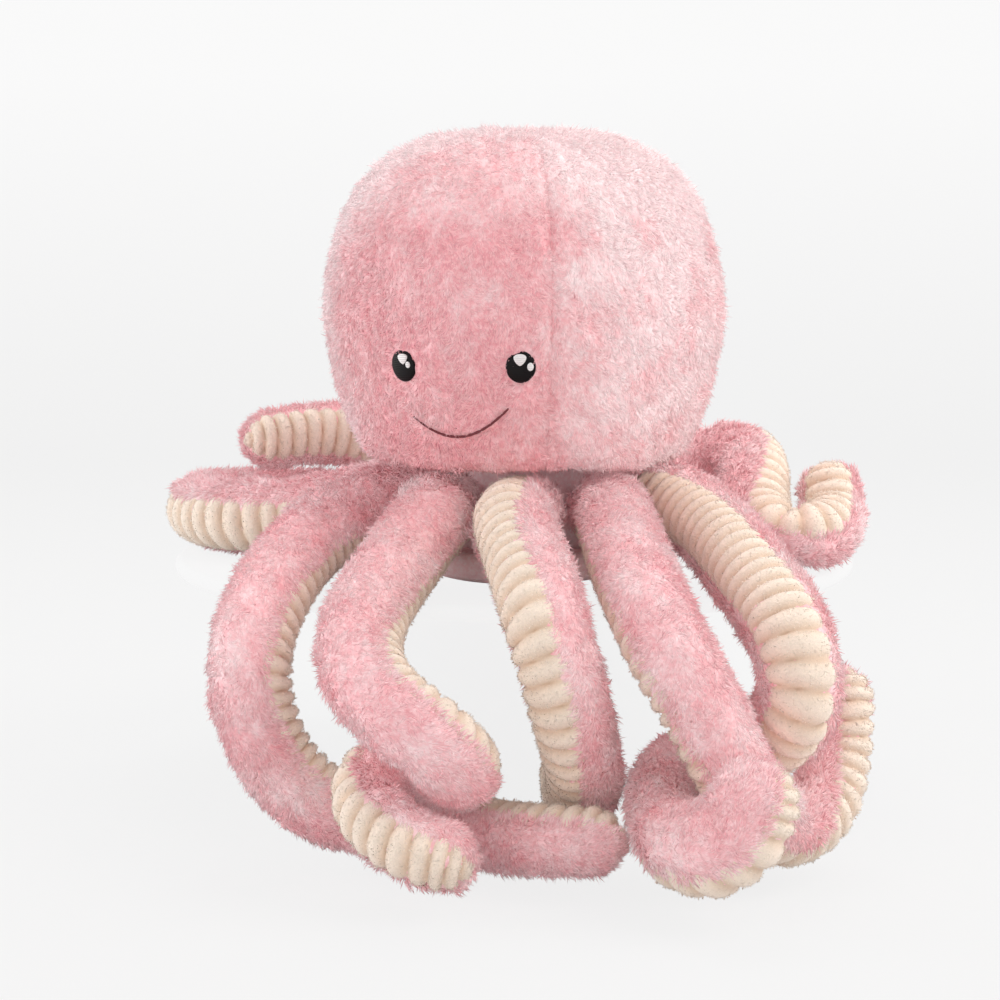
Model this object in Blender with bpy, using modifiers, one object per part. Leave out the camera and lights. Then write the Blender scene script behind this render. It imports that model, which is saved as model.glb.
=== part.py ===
"""Plush octopus: a round head of six gores on a flat base panel, with eight stuffed arms
sewn round it. Five arms droop over the edge of whatever the toy sits on, three lie behind.

Metres, +Z up, the face turned a little from -Y towards -X. The origin is the middle of the
base panel's flat underside.
"""

import math

import bmesh
import bpy
import numpy as np
from mathutils import Matrix, Vector

COLLECTION = "plush_octopus"

# Head: a turned form of six gores over one filling
HEAD_HEIGHT = 0.213
HEAD_RADIUS = 0.095
GORES = 6
GORE_STEPS = 3
GORE_GAP_ANGLE = math.radians(0.4)
CROWN_HOLE = 0.003
PLUSH_WALL = 0.0025
SHELL_CLEARANCE = 0.0007
PIECE_GAP = 0.0003
FACE_TURN = math.radians(-22)
# Outer profile, crown to underside: shares of the head's radius and height
HEAD_PROFILE_SHARES = (
    (0.21, 0.997),
    (0.43, 0.983),
    (0.60, 0.953),
    (0.765, 0.901),
    (0.875, 0.836),
    (0.95, 0.751),
    (0.995, 0.648),
    (0.993, 0.538),
    (0.95, 0.432),
    (0.874, 0.333),
    (0.815, 0.284),
)
UNDERSIDE_TUCK = 0.008
UNDERSIDE_RISE = 0.0045
UNDERSIDE_REACH = 0.032

# Base: the hub that the arms are sewn round, and the flat panel under it
ROOT_RING_RADIUS = 0.052
ROOT_HEIGHT = 0.035
ARM_ROOT_RADIUS = 0.019
BASE_PANEL_RADIUS = 0.046
BASE_PANEL_THICKNESS = 0.014
BASE_PANEL_ROUNDING = 0.004
BASE_PANEL_SIDES = 24

# Face
EYE_RADIUS = 0.0067
EYE_STRETCH = 1.08
EYE_THICKNESS = 0.0008
# Each eye: angle round the head from the front panel's middle, and height
EYE_PLACES = {
    "left": (math.radians(-14.7), 0.1045),
    "right": (math.radians(21.1), 0.1053),
}
EYE_SIDES = 24
GLINT_THICKNESS = 0.0005
GLINT_SIDES = 10
# Each glint: radius, offset across and up the eye, all as shares of the eye's radius
GLINT_SHARES = {
    "left": {"large_glint": (0.38, 0.14, 0.64), "small_glint": (0.20, 0.52, 0.14)},
    "right": {"large_glint": (0.42, -0.05, 0.64), "small_glint": (0.24, 0.64, 0.05)},
}
SMILE_THREAD_RADIUS = 0.0006
SMILE_HEIGHT = 0.079
SMILE_HALF_HEIGHT = 0.0055
SMILE_HALF_ANGLE = math.radians(15.5)
SMILE_OFFSET_ANGLE = math.radians(2)
SMILE_LEAN = 0.0025
SMILE_POINTS = 13

# Arms: a pink cover round the back, a cream panel along the underside, filling inside
ARM_WALL = 0.0022
UNDERSIDE_ANGLE = math.radians(132)
SEAM_GAP_ANGLE = math.radians(1.8)
COVER_OUTER_SIDES = 5
COVER_INNER_SIDES = 3
PANEL_OUTER_SIDES = 3
PANEL_INNER_SIDES = 2
RING_SPACING = 0.027
CURVE_STEPS = 8
# A tight fold pinches the arm to this share of the fold's own radius
PINCH_SHARE = 0.88
LEAST_BEND_ANGLE = math.radians(1)
ANGLE_DIGITS = 6
ROOT_END_ANGLES = (math.radians(80),)
TIP_END_ANGLES = (math.radians(42), math.radians(80))
# Radius along an arm: share of its length, share of the root's radius
ARM_TAPER_SHARES = ((0, 1.0), (0.4, 1.01), (0.75, 0.905), (1.0, 0.82))
# The filling crowds into a rolled end
ROLLED_TAPER_SHARES = ((0, 1.0), (0.4, 1.01), (0.83, 0.88), (0.93, 1.1), (1.0, 1.02))
ROLLED_ARM = "right_arm"

# The arms' routes are shares of this reach, measured from the origin
ARM_REACH = 0.100
ARM_STEP_ANGLE = math.radians(45)
FIRST_ARM_ANGLE = FACE_TURN + ARM_STEP_ANGLE / 2
ARM_ORDER = (
    "front_arm",
    "front_right_arm",
    "right_arm",
    "back_right_arm",
    "back_arm",
    "back_left_arm",
    "left_arm",
    "front_left_arm",
)
ROUTE_SHARES = {
    # Hooks out, down and back to the right, under the front arms
    "left_arm": (
        (-0.82, -0.22, 0.30), (-1.03, -0.56, 0.18), (-1.16, -0.90, -0.01),
        (-1.21, -1.10, -0.22), (-1.18, -1.16, -0.46), (-1.07, -1.16, -0.70),
        (-0.86, -1.15, -0.88), (-0.58, -1.16, -0.945), (-0.32, -1.22, -0.96),
        (-0.08, -1.42, -0.94), (0.12, -1.58, -0.91), (0.28, -1.64, -0.90),
    ),
    # Folds in a Z: out and down, back behind itself, then forward to the tip
    "front_left_arm": (
        (-0.42, -0.62, 0.33), (-0.56, -0.95, 0.17), (-0.68, -1.28, 0.00),
        (-0.69, -1.56, -0.15), (-0.57, -1.76, -0.28), (-0.39, -1.84, -0.40),
        (-0.27, -1.72, -0.55), (-0.31, -1.51, -0.62), (-0.45, -1.37, -0.62),
        (-0.58, -1.39, -0.64), (-0.66, -1.50, -0.69), (-0.65, -1.64, -0.76),
        (-0.57, -1.76, -0.82), (-0.46, -1.84, -0.87), (-0.34, -1.88, -0.90),
    ),
    # Hangs straight and turns its end backwards
    "front_arm": (
        (-0.05, -0.80, 0.35), (0.02, -1.22, 0.21), (0.09, -1.50, 0.03),
        (0.16, -1.58, -0.21), (0.22, -1.52, -0.46), (0.26, -1.32, -0.69),
        (0.24, -1.02, -0.86), (0.22, -0.72, -0.84),
    ),
    # Hangs to the right and turns its end up, behind the right arm
    "front_right_arm": (
        (0.42, -0.62, 0.32), (0.46, -1.00, 0.21), (0.53, -1.38, 0.07),
        (0.62, -1.58, -0.11), (0.73, -1.66, -0.29), (0.84, -1.69, -0.50),
        (0.96, -1.62, -0.72), (1.13, -1.45, -0.90), (1.32, -1.22, -0.85),
        (1.40, -1.06, -0.65), (1.42, -1.00, -0.43),
    ),
    # Swings out and back behind its neighbour, and rolls its end into a ball in front
    "right_arm": (
        (0.71, -0.13, 0.36), (0.89, -0.52, 0.26), (1.04, -1.04, 0.10),
        (1.15, -1.38, -0.08), (1.18, -1.47, -0.29), (1.12, -1.37, -0.47),
        (1.00, -1.20, -0.60), (0.86, -1.12, -0.67), (0.74, -1.14, -0.70),
        (0.65, -1.24, -0.73), (0.61, -1.40, -0.76), (0.60, -1.62, -0.80),
        (0.65, -1.88, -0.85), (0.77, -2.02, -0.83), (0.88, -2.07, -0.74),
        (0.93, -2.07, -0.63),
    ),
    # Arches up beside the head, comes down and turns its tip up
    "back_right_arm": (
        (0.56, 0.60, 0.35), (0.76, 0.82, 0.37), (0.99, 0.83, 0.45),
        (1.13, 0.62, 0.47), (1.15, 0.38, 0.42), (1.14, 0.20, 0.33),
        (1.15, 0.04, 0.24), (1.22, -0.08, 0.20), (1.35, -0.10, 0.19),
        (1.47, -0.01, 0.20), (1.52, 0.14, 0.25), (1.52, 0.26, 0.36),
    ),
    # Leaves at the back and lies over the arm beside it
    "back_arm": (
        (-0.04, 0.88, 0.28), (-0.06, 1.24, 0.20), (-0.36, 1.42, 0.30),
        (-0.72, 1.30, 0.50), (-1.04, 1.18, 0.56), (-1.34, 1.06, 0.54),
    ),
    # Lies flat, out to the left and back along itself
    "back_left_arm": (
        (-0.72, 0.48, 0.30), (-1.10, 0.44, 0.22), (-1.46, 0.52, 0.20),
        (-1.68, 0.80, 0.20), (-1.60, 1.10, 0.20), (-1.26, 1.24, 0.20),
        (-0.90, 1.12, 0.20),
    ),
}
# Which way each underside faces: share of the arm's length, then a direction
UNDERSIDE_FACING_SHARES = {
    "left_arm": (
        (0, 0, 0, -1), (0.1, 0.34, 0, -0.94), (0.22, 0.65, 0, -0.76), (0.33, 0.88, 0, -0.48),
        (0.45, 1, 0.15, 0.05), (0.56, 0.77, 0.29, 0.57), (0.65, 0.32, 0.4, 0.86),
        (0.8, 0.2, 0.4, 0.9), (1, 0.1, 0.36, 0.92),
    ),
    "front_left_arm": (
        (0, 0, 0.1, -1), (0.2, 0.62, 0.14, -0.78), (0.31, 0.79, 0.15, -0.59),
        (0.4, 0.98, 0.2, 0), (0.48, 0.8, 0.3, 0.5), (0.55, 0.75, 0.4, 0.45),
        (0.61, 0.75, 0.65, 0.2), (0.68, 0.1, 1, 0.2), (0.75, -0.7, 0.8, 0),
        (0.82, -1, -0.3, -0.1), (0.9, -0.7, -0.9, -0.1), (1, -0.4, -1, -0.2),
    ),
    "front_arm": (
        (0, -0.7, 0, 0.7), (0.1, -0.65, -0.1, 0.75), (0.25, -0.92, -0.29, 0.25),
        (0.4, -0.87, -0.46, 0.2), (0.55, -0.8, -0.6, 0), (0.7, -0.8, -0.6, 0),
        (1, -0.9, -0.1, -0.4),
    ),
    "front_right_arm": (
        (0, -0.2, 0.1, -1), (0.1, -0.7, 0.1, -0.7), (0.2, -0.74, 0.12, -0.66),
        (0.35, -0.73, 0.2, -0.66), (0.5, -0.78, 0.33, -0.53), (0.6, -0.88, 0.3, -0.36),
        (0.68, -0.7, 0, -0.7), (0.75, 0, -0.28, -0.96), (0.85, 0.87, -0.49, -0.1),
        (1, 0.74, -0.67, 0.1),
    ),
    "right_arm": (
        (0, -0.1, -0.95, -0.3), (0.06, -0.82, -0.58, 0), (0.17, -0.73, -0.42, 0.54),
        (0.3, -0.59, -0.41, 0.69), (0.4, -0.31, -0.6, 0.73), (0.475, 0, -1, 0),
        (0.6, 0, -0.2, -1), (0.75, -0.6, 0, -0.8), (0.88, 0, -0.2, -1), (1, 0.75, -0.1, -0.6),
    ),
    "back_right_arm": (
        (0, -0.6, 0.6, -0.5), (0.15, -0.4, 0.9, -0.1), (0.28, 0, 1, 0.4),
        (0.4, 0.7, 0.7, 0.5), (0.52, 1, 0.25, 0.3), (0.64, 0.8, -0.1, 0.55),
        (0.76, 0.1, -0.2, 1), (0.88, -0.45, -0.6, 0.6), (1, -0.2, -1, 0.2),
    ),
    "back_arm": (
        (0, -0.6, 0, -0.8), (0.25, -0.9, -0.2, -0.5), (0.45, -0.5, -0.8, -0.2),
        (0.6, 0, -1, 0), (1, 0, -1, 0.2),
    ),
    "back_left_arm": (
        (0, 0.3, -0.6, -0.8), (0.25, 0, -1, -0.75), (0.45, -0.8, -0.8, -0.5),
        (0.6, -0.8, 0.6, -0.3), (0.8, 0, 1, 0), (1, 0.2, 1, 0),
    ),
}

# Colours of the plush, the embroidery and the filling, linear
PINK = (0.83, 0.47, 0.51)
CREAM = (0.85, 0.72, 0.58)
WHITE_FIBRE = (0.87, 0.87, 0.85)
EYE_THREAD = (0.012, 0.009, 0.010)
GLINT_THREAD = (0.80, 0.80, 0.80)
SMILE_THREAD = (0.10, 0.012, 0.018)


def clear_scene():
    for obj in list(bpy.data.objects):
        bpy.data.objects.remove(obj, do_unlink=True)


def collection(name):
    made = bpy.data.collections.new(name)
    bpy.context.scene.collection.children.link(made)
    return made


def material(name, colour, roughness):
    made = bpy.data.materials.new(name)
    made.use_nodes = True
    shader = made.node_tree.nodes["Principled BSDF"]
    shader.inputs["Base Color"].default_value = (*colour, 1)
    shader.inputs["Roughness"].default_value = roughness
    shader.inputs["Metallic"].default_value = 0
    return made


def add_object(name, data, mat, parts):
    obj = bpy.data.objects.new(name, data)
    data.materials.append(mat)
    parts.objects.link(obj)
    return obj


def mesh_object(name, bm, mat, parts):
    mesh = bpy.data.meshes.new(name)
    bm.to_mesh(mesh)
    bm.free()
    mesh.shade_smooth()
    return add_object(name, mesh, mat, parts)


def profile_object(name, points, mat, parts):
    """An open outline in the XZ plane, ready to be turned about Z."""
    bm = bmesh.new()
    verts = [bm.verts.new((x, 0, z)) for x, z in points]
    for above, below in zip(verts, verts[1:]):
        bm.edges.new((above, below))
    return mesh_object(name, bm, mat, parts)


def add_screw(obj, angle, steps):
    screw = obj.modifiers.new("turned", "SCREW")
    screw.axis = "Z"
    screw.angle = angle
    screw.steps = steps
    screw.render_steps = steps
    screw.use_merge_vertices = True
    screw.merge_threshold = PIECE_GAP / 3


def head_profile():
    """The head's outline from crown to underside edge."""
    return [Vector((r * HEAD_RADIUS, h * HEAD_HEIGHT)) for r, h in HEAD_PROFILE_SHARES]


def gore_outline():
    """A gore's outer side: the crown, the head's outline and the hem tucked in over the arms."""
    profile = head_profile()
    flat = profile[-1].y - UNDERSIDE_RISE
    tucked = profile[-1].x - UNDERSIDE_TUCK
    hem = [Vector((tucked, flat)), Vector((tucked - UNDERSIDE_REACH, flat))]
    return [Vector((CROWN_HOLE, HEAD_HEIGHT)), *profile, *hem]


def inset_outline(points, depth):
    """The same outline moved inwards by a depth."""
    ways = [(there - here).normalized() for here, there in zip(points, points[1:])]
    moved = []
    for k, point in enumerate(points):
        before = ways[max(k - 1, 0)]
        after = ways[min(k, len(ways) - 1)]
        outward = Vector((-before.y - after.y, before.x + after.x)).normalized()
        moved.append(point - outward * depth / outward.dot((-after.y, after.x)))
    return moved


def build_gores(pink, parts):
    """Six like panels, each a section of plush spun through its share of the round."""
    names = ("front", "right_front", "right_back", "back", "left_back", "left_front")
    width = 2 * math.pi / GORES
    outline = gore_outline()
    section = outline + inset_outline(outline, PLUSH_WALL)[::-1]
    for k, name in enumerate(names):
        bm = bmesh.new()
        bm.faces.new([bm.verts.new((x, 0, z)) for x, z in section])
        bmesh.ops.spin(
            bm, geom=[*bm.verts, *bm.edges, *bm.faces], cent=(0, 0, 0), axis=(0, 0, 1),
            angle=width - GORE_GAP_ANGLE, steps=GORE_STEPS,
        )
        bmesh.ops.recalc_face_normals(bm, faces=bm.faces)
        gore = mesh_object(f"head_gore_{name}", bm, pink, parts)
        middle = FACE_TURN - math.pi / 2 + k * width
        gore.rotation_euler.z = middle - (width - GORE_GAP_ANGLE) / 2


def build_filling(fibre, parts):
    """The head's filling and the hub below it, one turned body."""
    inner = inset_outline(gore_outline(), PLUSH_WALL + SHELL_CLEARANCE)
    hub = ROOT_RING_RADIUS - ARM_ROOT_RADIUS - PIECE_GAP
    foot = BASE_PANEL_THICKNESS + PIECE_GAP
    outline = [Vector((0, inner[0].y)), *inner[1:-1]]
    outline += [Vector((hub, inner[-1].y)), Vector((hub, foot)), Vector((0, foot))]
    filling = profile_object("head_filling", outline, fibre, parts)
    add_screw(filling, 2 * math.pi, GORES * GORE_STEPS)
    filling.rotation_euler.z = FACE_TURN - math.pi / 2 + math.pi / GORES


def build_base_panel(pink, parts):
    """A flat disc with a rounded edge; its underside is what the toy rests on."""
    rim = BASE_PANEL_RADIUS
    curve = BASE_PANEL_ROUNDING
    outline = [
        Vector((0, BASE_PANEL_THICKNESS)),
        Vector((rim - curve, BASE_PANEL_THICKNESS)),
        Vector((rim, BASE_PANEL_THICKNESS - curve)),
        Vector((rim, curve)),
        Vector((rim - curve, 0)),
        Vector((0, 0)),
    ]
    panel = profile_object("base_panel", outline, pink, parts)
    add_screw(panel, 2 * math.pi, BASE_PANEL_SIDES)


def profile_radius(height):
    """The head's outer radius at a height, on the straight line between its outline's points."""
    points = head_profile()
    heights = [p.y for p in reversed(points)]
    radii = [p.x for p in reversed(points)]
    return float(np.interp(height, heights, radii))


def face_frame(angle, height):
    """Where the middle of a gore's facet lies at this height, and which way it faces."""
    facet = 2 * math.pi / GORES / GORE_STEPS
    centre = round(angle / facet) * facet
    turn = FACE_TURN + centre - math.pi / 2
    below = profile_radius(height - EYE_RADIUS)
    above = profile_radius(height + EYE_RADIUS)
    slope = math.atan2(above - below, 2 * EYE_RADIUS)
    out = Vector((math.cos(turn) * math.cos(slope), math.sin(turn) * math.cos(slope), -math.sin(slope)))
    across = Vector((-math.sin(turn), math.cos(turn), 0))
    up = out.cross(across)
    apothem = profile_radius(height) * math.cos(facet / 2)
    place = Vector((apothem * math.cos(turn), apothem * math.sin(turn), height))
    place += across * profile_radius(height) * math.sin(angle - centre)
    return place, Matrix((across, up, out)).transposed()


def disc(name, radius, stretch, thickness, sides, place, axes, mat, parts):
    bm = bmesh.new()
    bmesh.ops.create_cone(
        bm, cap_ends=True, segments=sides, radius1=radius, radius2=radius, depth=thickness
    )
    bmesh.ops.scale(bm, vec=(1, stretch, 1), verts=bm.verts)
    obj = mesh_object(name, bm, mat, parts)
    obj.matrix_world = Matrix.Translation(place) @ axes.to_4x4()
    return obj


def build_eyes(black, white, parts):
    for side, (angle, height) in EYE_PLACES.items():
        place, axes = face_frame(angle, height)
        out = axes.col[2]
        middle = place + out * (PIECE_GAP + EYE_THICKNESS / 2)
        disc(
            f"{side}_eye", EYE_RADIUS, EYE_STRETCH, EYE_THICKNESS, EYE_SIDES,
            middle, axes, black, parts,
        )
        lift = EYE_THICKNESS / 2 + PIECE_GAP + GLINT_THICKNESS / 2
        for glint, (size, across, up) in GLINT_SHARES[side].items():
            spot = middle + out * lift
            spot += axes.col[0] * across * EYE_RADIUS + axes.col[1] * up * EYE_RADIUS
            disc(
                f"{side}_eye_{glint}", size * EYE_RADIUS, 1, GLINT_THICKNESS, GLINT_SIDES,
                spot, axes, white, parts,
            )


def build_smile(thread, parts):
    """One laid thread along an arc on the front gore, its ends higher than its middle."""
    curve = bpy.data.curves.new("smile_stitch", "CURVE")
    curve.dimensions = "3D"
    curve.bevel_depth = SMILE_THREAD_RADIUS
    curve.bevel_resolution = 1
    curve.use_fill_caps = True
    line = curve.splines.new("POLY")
    line.points.add(SMILE_POINTS - 1)
    for i in range(SMILE_POINTS):
        across = 2 * i / (SMILE_POINTS - 1) - 1
        angle = SMILE_OFFSET_ANGLE + across * SMILE_HALF_ANGLE
        height = SMILE_HEIGHT - SMILE_HALF_HEIGHT + 2 * SMILE_HALF_HEIGHT * across**2
        height += SMILE_LEAN * across
        radius = profile_radius(height) + 2 * SMILE_THREAD_RADIUS + PIECE_GAP
        turn = FACE_TURN + angle - math.pi / 2
        line.points[i].co = (radius * math.cos(turn), radius * math.sin(turn), height, 1)
    add_object("smile_stitch", curve, thread, parts)


def arm_angle(name):
    return FIRST_ARM_ANGLE + ARM_ORDER.index(name) * ARM_STEP_ANGLE


def arm_root(name):
    turn = arm_angle(name) - math.pi / 2
    x = ROOT_RING_RADIUS * math.cos(turn)
    y = ROOT_RING_RADIUS * math.sin(turn)
    return Vector((x, y, ROOT_HEIGHT))


def route_point(points, at):
    """A point of the smooth curve through the route's points; at counts the points passed."""
    last = len(points) - 1
    i = min(int(at), last - 1)
    t = at - i
    b, c = points[i], points[i + 1]
    a = points[i - 1]
    d = points[i + 2] if i + 2 <= last else 2 * c - b
    return 0.5 * (2 * b + (c - a) * t + (2 * a - 5 * b + 4 * c - d) * t**2 + (3 * b - a - 3 * c + d) * t**3)


def arm_axis(name):
    """Places and headings of an arm's rings, closer together where it bends, and their shares."""
    root = arm_root(name)
    route = [Vector(p) * ARM_REACH for p in ROUTE_SHARES[name]]
    outward = Vector((root.x, root.y, 0)).normalized()
    # This point only steers the curve, so that the arm leaves the hub straight outwards
    lead = route[0] - 2 * outward * (route[0] - root).length
    points = [lead, root, *route]
    steps = len(route) * CURVE_STEPS
    fine = [route_point(points, 1 + k / CURVE_STEPS) for k in range(steps + 1)]
    ways = [(there - here).normalized() for here, there in zip(fine, fine[1:])]
    headings = [ways[0], *[(a + b).normalized() for a, b in zip(ways, ways[1:])], ways[-1]]
    lengths = [0]
    spacing = [0]
    for k, way in enumerate(ways):
        length = (fine[k + 1] - fine[k]).length
        bend = headings[k].angle(headings[k + 1]) * ARM_ROOT_RADIUS
        lengths.append(lengths[-1] + length)
        spacing.append(spacing[-1] + length + bend)
    rings = round(spacing[-1] / RING_SPACING) + 1
    at = np.linspace(0, spacing[-1], rings)

    def read(vectors):
        table = np.array(vectors)
        return [Vector([float(np.interp(a, spacing, table[:, k])) for k in range(3)]) for a in at]

    shares = [float(np.interp(a, spacing, lengths)) / lengths[-1] for a in at]
    return read(fine), [way.normalized() for way in read(headings)], shares


def facing(name, share):
    """The way that the underside faces at this share of the arm's length."""
    table = np.array(UNDERSIDE_FACING_SHARES[name], float)
    return Vector([float(np.interp(share, table[:, 0], table[:, k])) for k in (1, 2, 3)])


def arm_rings(name):
    """Every ring of an arm: middle, radius, underside's direction and the direction beside it."""
    places, headings, shares = arm_axis(name)
    taper = np.array(ROLLED_TAPER_SHARES if name == ROLLED_ARM else ARM_TAPER_SHARES)
    radii = [ARM_ROOT_RADIUS * float(np.interp(s, taper[:, 0], taper[:, 1])) for s in shares]
    for k in range(1, len(radii) - 1):
        bend = max(headings[k - 1].angle(headings[k + 1]), LEAST_BEND_ANGLE)
        across = (places[k + 1] - places[k - 1]).length
        radii[k] = min(radii[k], PINCH_SHARE * across / bend)
    rows = []
    for angle in ROOT_END_ANGLES:
        back = places[0] - headings[0] * radii[0] * math.sin(angle)
        rows.append((back, headings[0], radii[0] * math.cos(angle), 0))
    rows += list(zip(places, headings, radii, shares))
    for angle in TIP_END_ANGLES:
        ahead = places[-1] + headings[-1] * radii[-1] * math.sin(angle)
        rows.append((ahead, headings[-1], radii[-1] * math.cos(angle), 1))
    rings = []
    for place, heading, radius, share in rows:
        down = facing(name, share)
        down = (down - heading * down.dot(heading)).normalized()
        rings.append((place, radius, down, heading.cross(down)))
    return rings


def arc(start, end, sides):
    return [start + (end - start) * k / sides for k in range(sides + 1)]


def loft(name, rings, sections, mat, parts):
    """A closed body through one section per ring; a section is (angle, inset) pairs."""
    bm = bmesh.new()
    rows = []
    for (place, radius, down, beside), section in zip(rings, sections):
        row = []
        for angle, inset in section:
            reach = max(radius - inset, radius / 8)
            way = down * math.cos(angle) + beside * math.sin(angle)
            row.append(bm.verts.new(place + way * reach))
        rows.append(row)
    for i, section in enumerate(sections[:-1]):
        here, there = rows[i], rows[i + 1]
        for k in range(len(section)):
            j = (k + 1) % len(section)
            # Facing walls of two pieces are split along the same diagonal, so they stay clear
            turn = math.remainder(section[j][0] - section[k][0], 2 * math.pi)
            if (round(turn, ANGLE_DIGITS), section[j][1]) > (0, section[k][1]):
                bm.faces.new((here[k], here[j], there[j]))
                bm.faces.new((here[k], there[j], there[k]))
            else:
                bm.faces.new((here[k], here[j], there[k]))
                bm.faces.new((here[j], there[j], there[k]))
    bm.faces.new(reversed(rows[0]))
    bm.faces.new(rows[-1])
    bmesh.ops.triangulate(bm, faces=[f for f in bm.faces if len(f.verts) > 4])
    bmesh.ops.recalc_face_normals(bm, faces=bm.faces)
    return mesh_object(name, bm, mat, parts)


def build_arm(name, pink, cream, fibre, parts):
    rings = arm_rings(name)
    edge = UNDERSIDE_ANGLE / 2
    gap = SEAM_GAP_ANGLE / 2
    back = 2 * math.pi - edge
    panel = [(a, 0) for a in arc(-edge + gap, edge - gap, PANEL_OUTER_SIDES)]
    panel += [(a, ARM_WALL) for a in arc(edge - gap, -edge + gap, PANEL_INNER_SIDES)]
    cover = [(a, 0) for a in arc(edge + gap, back - gap, COVER_OUTER_SIDES)]
    cover += [(a, ARM_WALL) for a in arc(back - gap, edge + gap, COVER_INNER_SIDES)]
    depth = ARM_WALL + SHELL_CLEARANCE
    core = [(a, depth) for a in arc(-edge, edge, PANEL_INNER_SIDES)[:-1]]
    core += [(a, depth) for a in arc(edge, back, COVER_INNER_SIDES)[:-1]]
    loft(f"{name}_cover", rings, [cover] * len(rings), pink, parts)
    loft(f"{name}_underside", rings, [panel] * len(rings), cream, parts)
    inner = rings[1:-1]
    loft(f"{name}_filling", inner, [core] * len(inner), fibre, parts)


def main():
    clear_scene()
    parts = collection(COLLECTION)
    pink = material("pink_pile_plush", PINK, 0.9)
    cream = material("cream_ribbed_plush", CREAM, 0.9)
    fibre = material("polyester_filling", WHITE_FIBRE, 0.95)
    black = material("black_embroidery", EYE_THREAD, 0.5)
    white = material("white_embroidery", GLINT_THREAD, 0.6)
    maroon = material("maroon_embroidery", SMILE_THREAD, 0.6)
    build_gores(pink, parts)
    build_filling(fibre, parts)
    build_base_panel(pink, parts)
    build_eyes(black, white, parts)
    build_smile(maroon, parts)
    for name in ARM_ORDER:
        build_arm(name, pink, cream, fibre, parts)


main()
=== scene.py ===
"""Dresses the plush octopus: pink pile over the head and arms, cream ribs under the arms,
an embroidered face, and a plain pale stage with soft light.

Each strand of pile is real mesh, so the fluffy outline is in the shape and not only in the shading.
"""

import math

import bpy
import numpy as np
from bpy.props import FloatProperty, FloatVectorProperty, IntProperty, PointerProperty
from bpy.types import Operator, Panel, PropertyGroup
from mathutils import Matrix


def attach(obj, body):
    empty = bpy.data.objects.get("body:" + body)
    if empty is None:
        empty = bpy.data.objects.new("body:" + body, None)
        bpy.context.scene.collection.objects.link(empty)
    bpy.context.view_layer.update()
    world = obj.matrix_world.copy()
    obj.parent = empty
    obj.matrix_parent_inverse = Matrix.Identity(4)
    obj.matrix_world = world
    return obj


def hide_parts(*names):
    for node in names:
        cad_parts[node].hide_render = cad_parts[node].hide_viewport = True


bl_info = {
    "name": "Plush octopus",
    "version": (1, 0, 0),
    "blender": (4, 5, 0),
    "location": "3D View > Sidebar > Octopus",
    "description": "Makes a stuffed octopus with a pile coat, ribbed undersides and an embroidered face",
    "category": "Object",
}

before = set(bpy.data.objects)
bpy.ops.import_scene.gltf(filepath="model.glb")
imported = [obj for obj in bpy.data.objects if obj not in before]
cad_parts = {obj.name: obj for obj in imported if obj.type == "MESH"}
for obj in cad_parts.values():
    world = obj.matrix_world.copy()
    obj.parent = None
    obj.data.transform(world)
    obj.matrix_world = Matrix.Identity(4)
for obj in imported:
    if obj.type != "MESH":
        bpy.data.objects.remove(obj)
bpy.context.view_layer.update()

MM = 0.001
# Each piece's flat map, on which its colours can be baked
FLAT_MAP = "OFBake"

# The head's build, as in the solids: shares of its radius and height, crown to underside
HEAD_HEIGHT = 213 * MM
HEAD_RADIUS = 95 * MM
HEAD_PROFILE_SHARES = (
    (0.0, 1.0), (0.21, 0.997), (0.43, 0.983), (0.60, 0.953), (0.765, 0.901), (0.875, 0.836),
    (0.95, 0.751), (0.995, 0.648), (0.993, 0.538), (0.95, 0.432), (0.874, 0.333),
    (0.79, 0.272), (0.66, 0.262), (0.42, 0.262),
)
GORE_NAMES = ("front", "right_front", "right_back", "back", "left_back", "left_front")
# Share of painted light on the head's pile, by degrees round from the middle of the front: painted shade on
# the front and painted light round the sides, and how much more painted light goes on at the crown, where the
# lamps fall from above
HEAD_PAINTED_LIGHT_SHARES = (
    (-180, 0.5), (-100, 0.7), (-55, 0.85), (-22, 0.2), (0, 0.1),
    (25, 0.2), (36, 0.72), (60, 0.95), (110, 0.9), (180, 0.5),
)
HEAD_TOP_PAINTED_LIGHT = 0.8
# Even share of painted light on the arms' pile
ARM_PAINTED_LIGHT = 0.5
# The hub and the base panel are painted paler, against the shade that falls under the head
HUB_PAINTED_LIGHT = 0.9
# How far from upright the strands lean, and how much they stray from each other
HEAD_PILE_LEAN = 1.12
ARM_PILE_LEAN = 1.05
NAP_LEAN = 0.75
PILE_SPLAY = 0.3
NAP_SPLAY = 0.4
# Points of the head's outline between each two of its profile
HEAD_STEPS = 8
FACE_TURN = math.radians(-22)
ROOT_RING_RADIUS = 52 * MM
ROOT_HEIGHT = 35 * MM
ARM_ROOT_RADIUS = 19 * MM
BASE_PANEL_RADIUS = 46 * MM
BASE_PANEL_THICKNESS = 14 * MM

EYE_STRETCH = 1.08
EYE_PLACES = {"left": (math.radians(-14.7), 104.5 * MM), "right": (math.radians(21.1), 105.3 * MM)}
# Each glint: radius, offset across and up the eye, all as shares of the eye's radius
GLINT_SHARES = {
    "left": {"large_glint": (0.38, 0.14, 0.64), "small_glint": (0.20, 0.52, 0.14)},
    "right": {"large_glint": (0.42, -0.05, 0.64), "small_glint": (0.24, 0.64, 0.05)},
}
SMILE_HEIGHT = 79 * MM
SMILE_HALF_HEIGHT = 5.5 * MM
SMILE_HALF_ANGLE = math.radians(15.5)
SMILE_OFFSET_ANGLE = math.radians(2)
SMILE_LEAN = 2.5 * MM

# The arms' routes and the way each underside faces, as in the solids
ARM_REACH = 100 * MM
ARM_ORDER = (
    "front_arm", "front_right_arm", "right_arm", "back_right_arm",
    "back_arm", "back_left_arm", "left_arm", "front_left_arm",
)
PINCH_SHARE = 0.88
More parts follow.
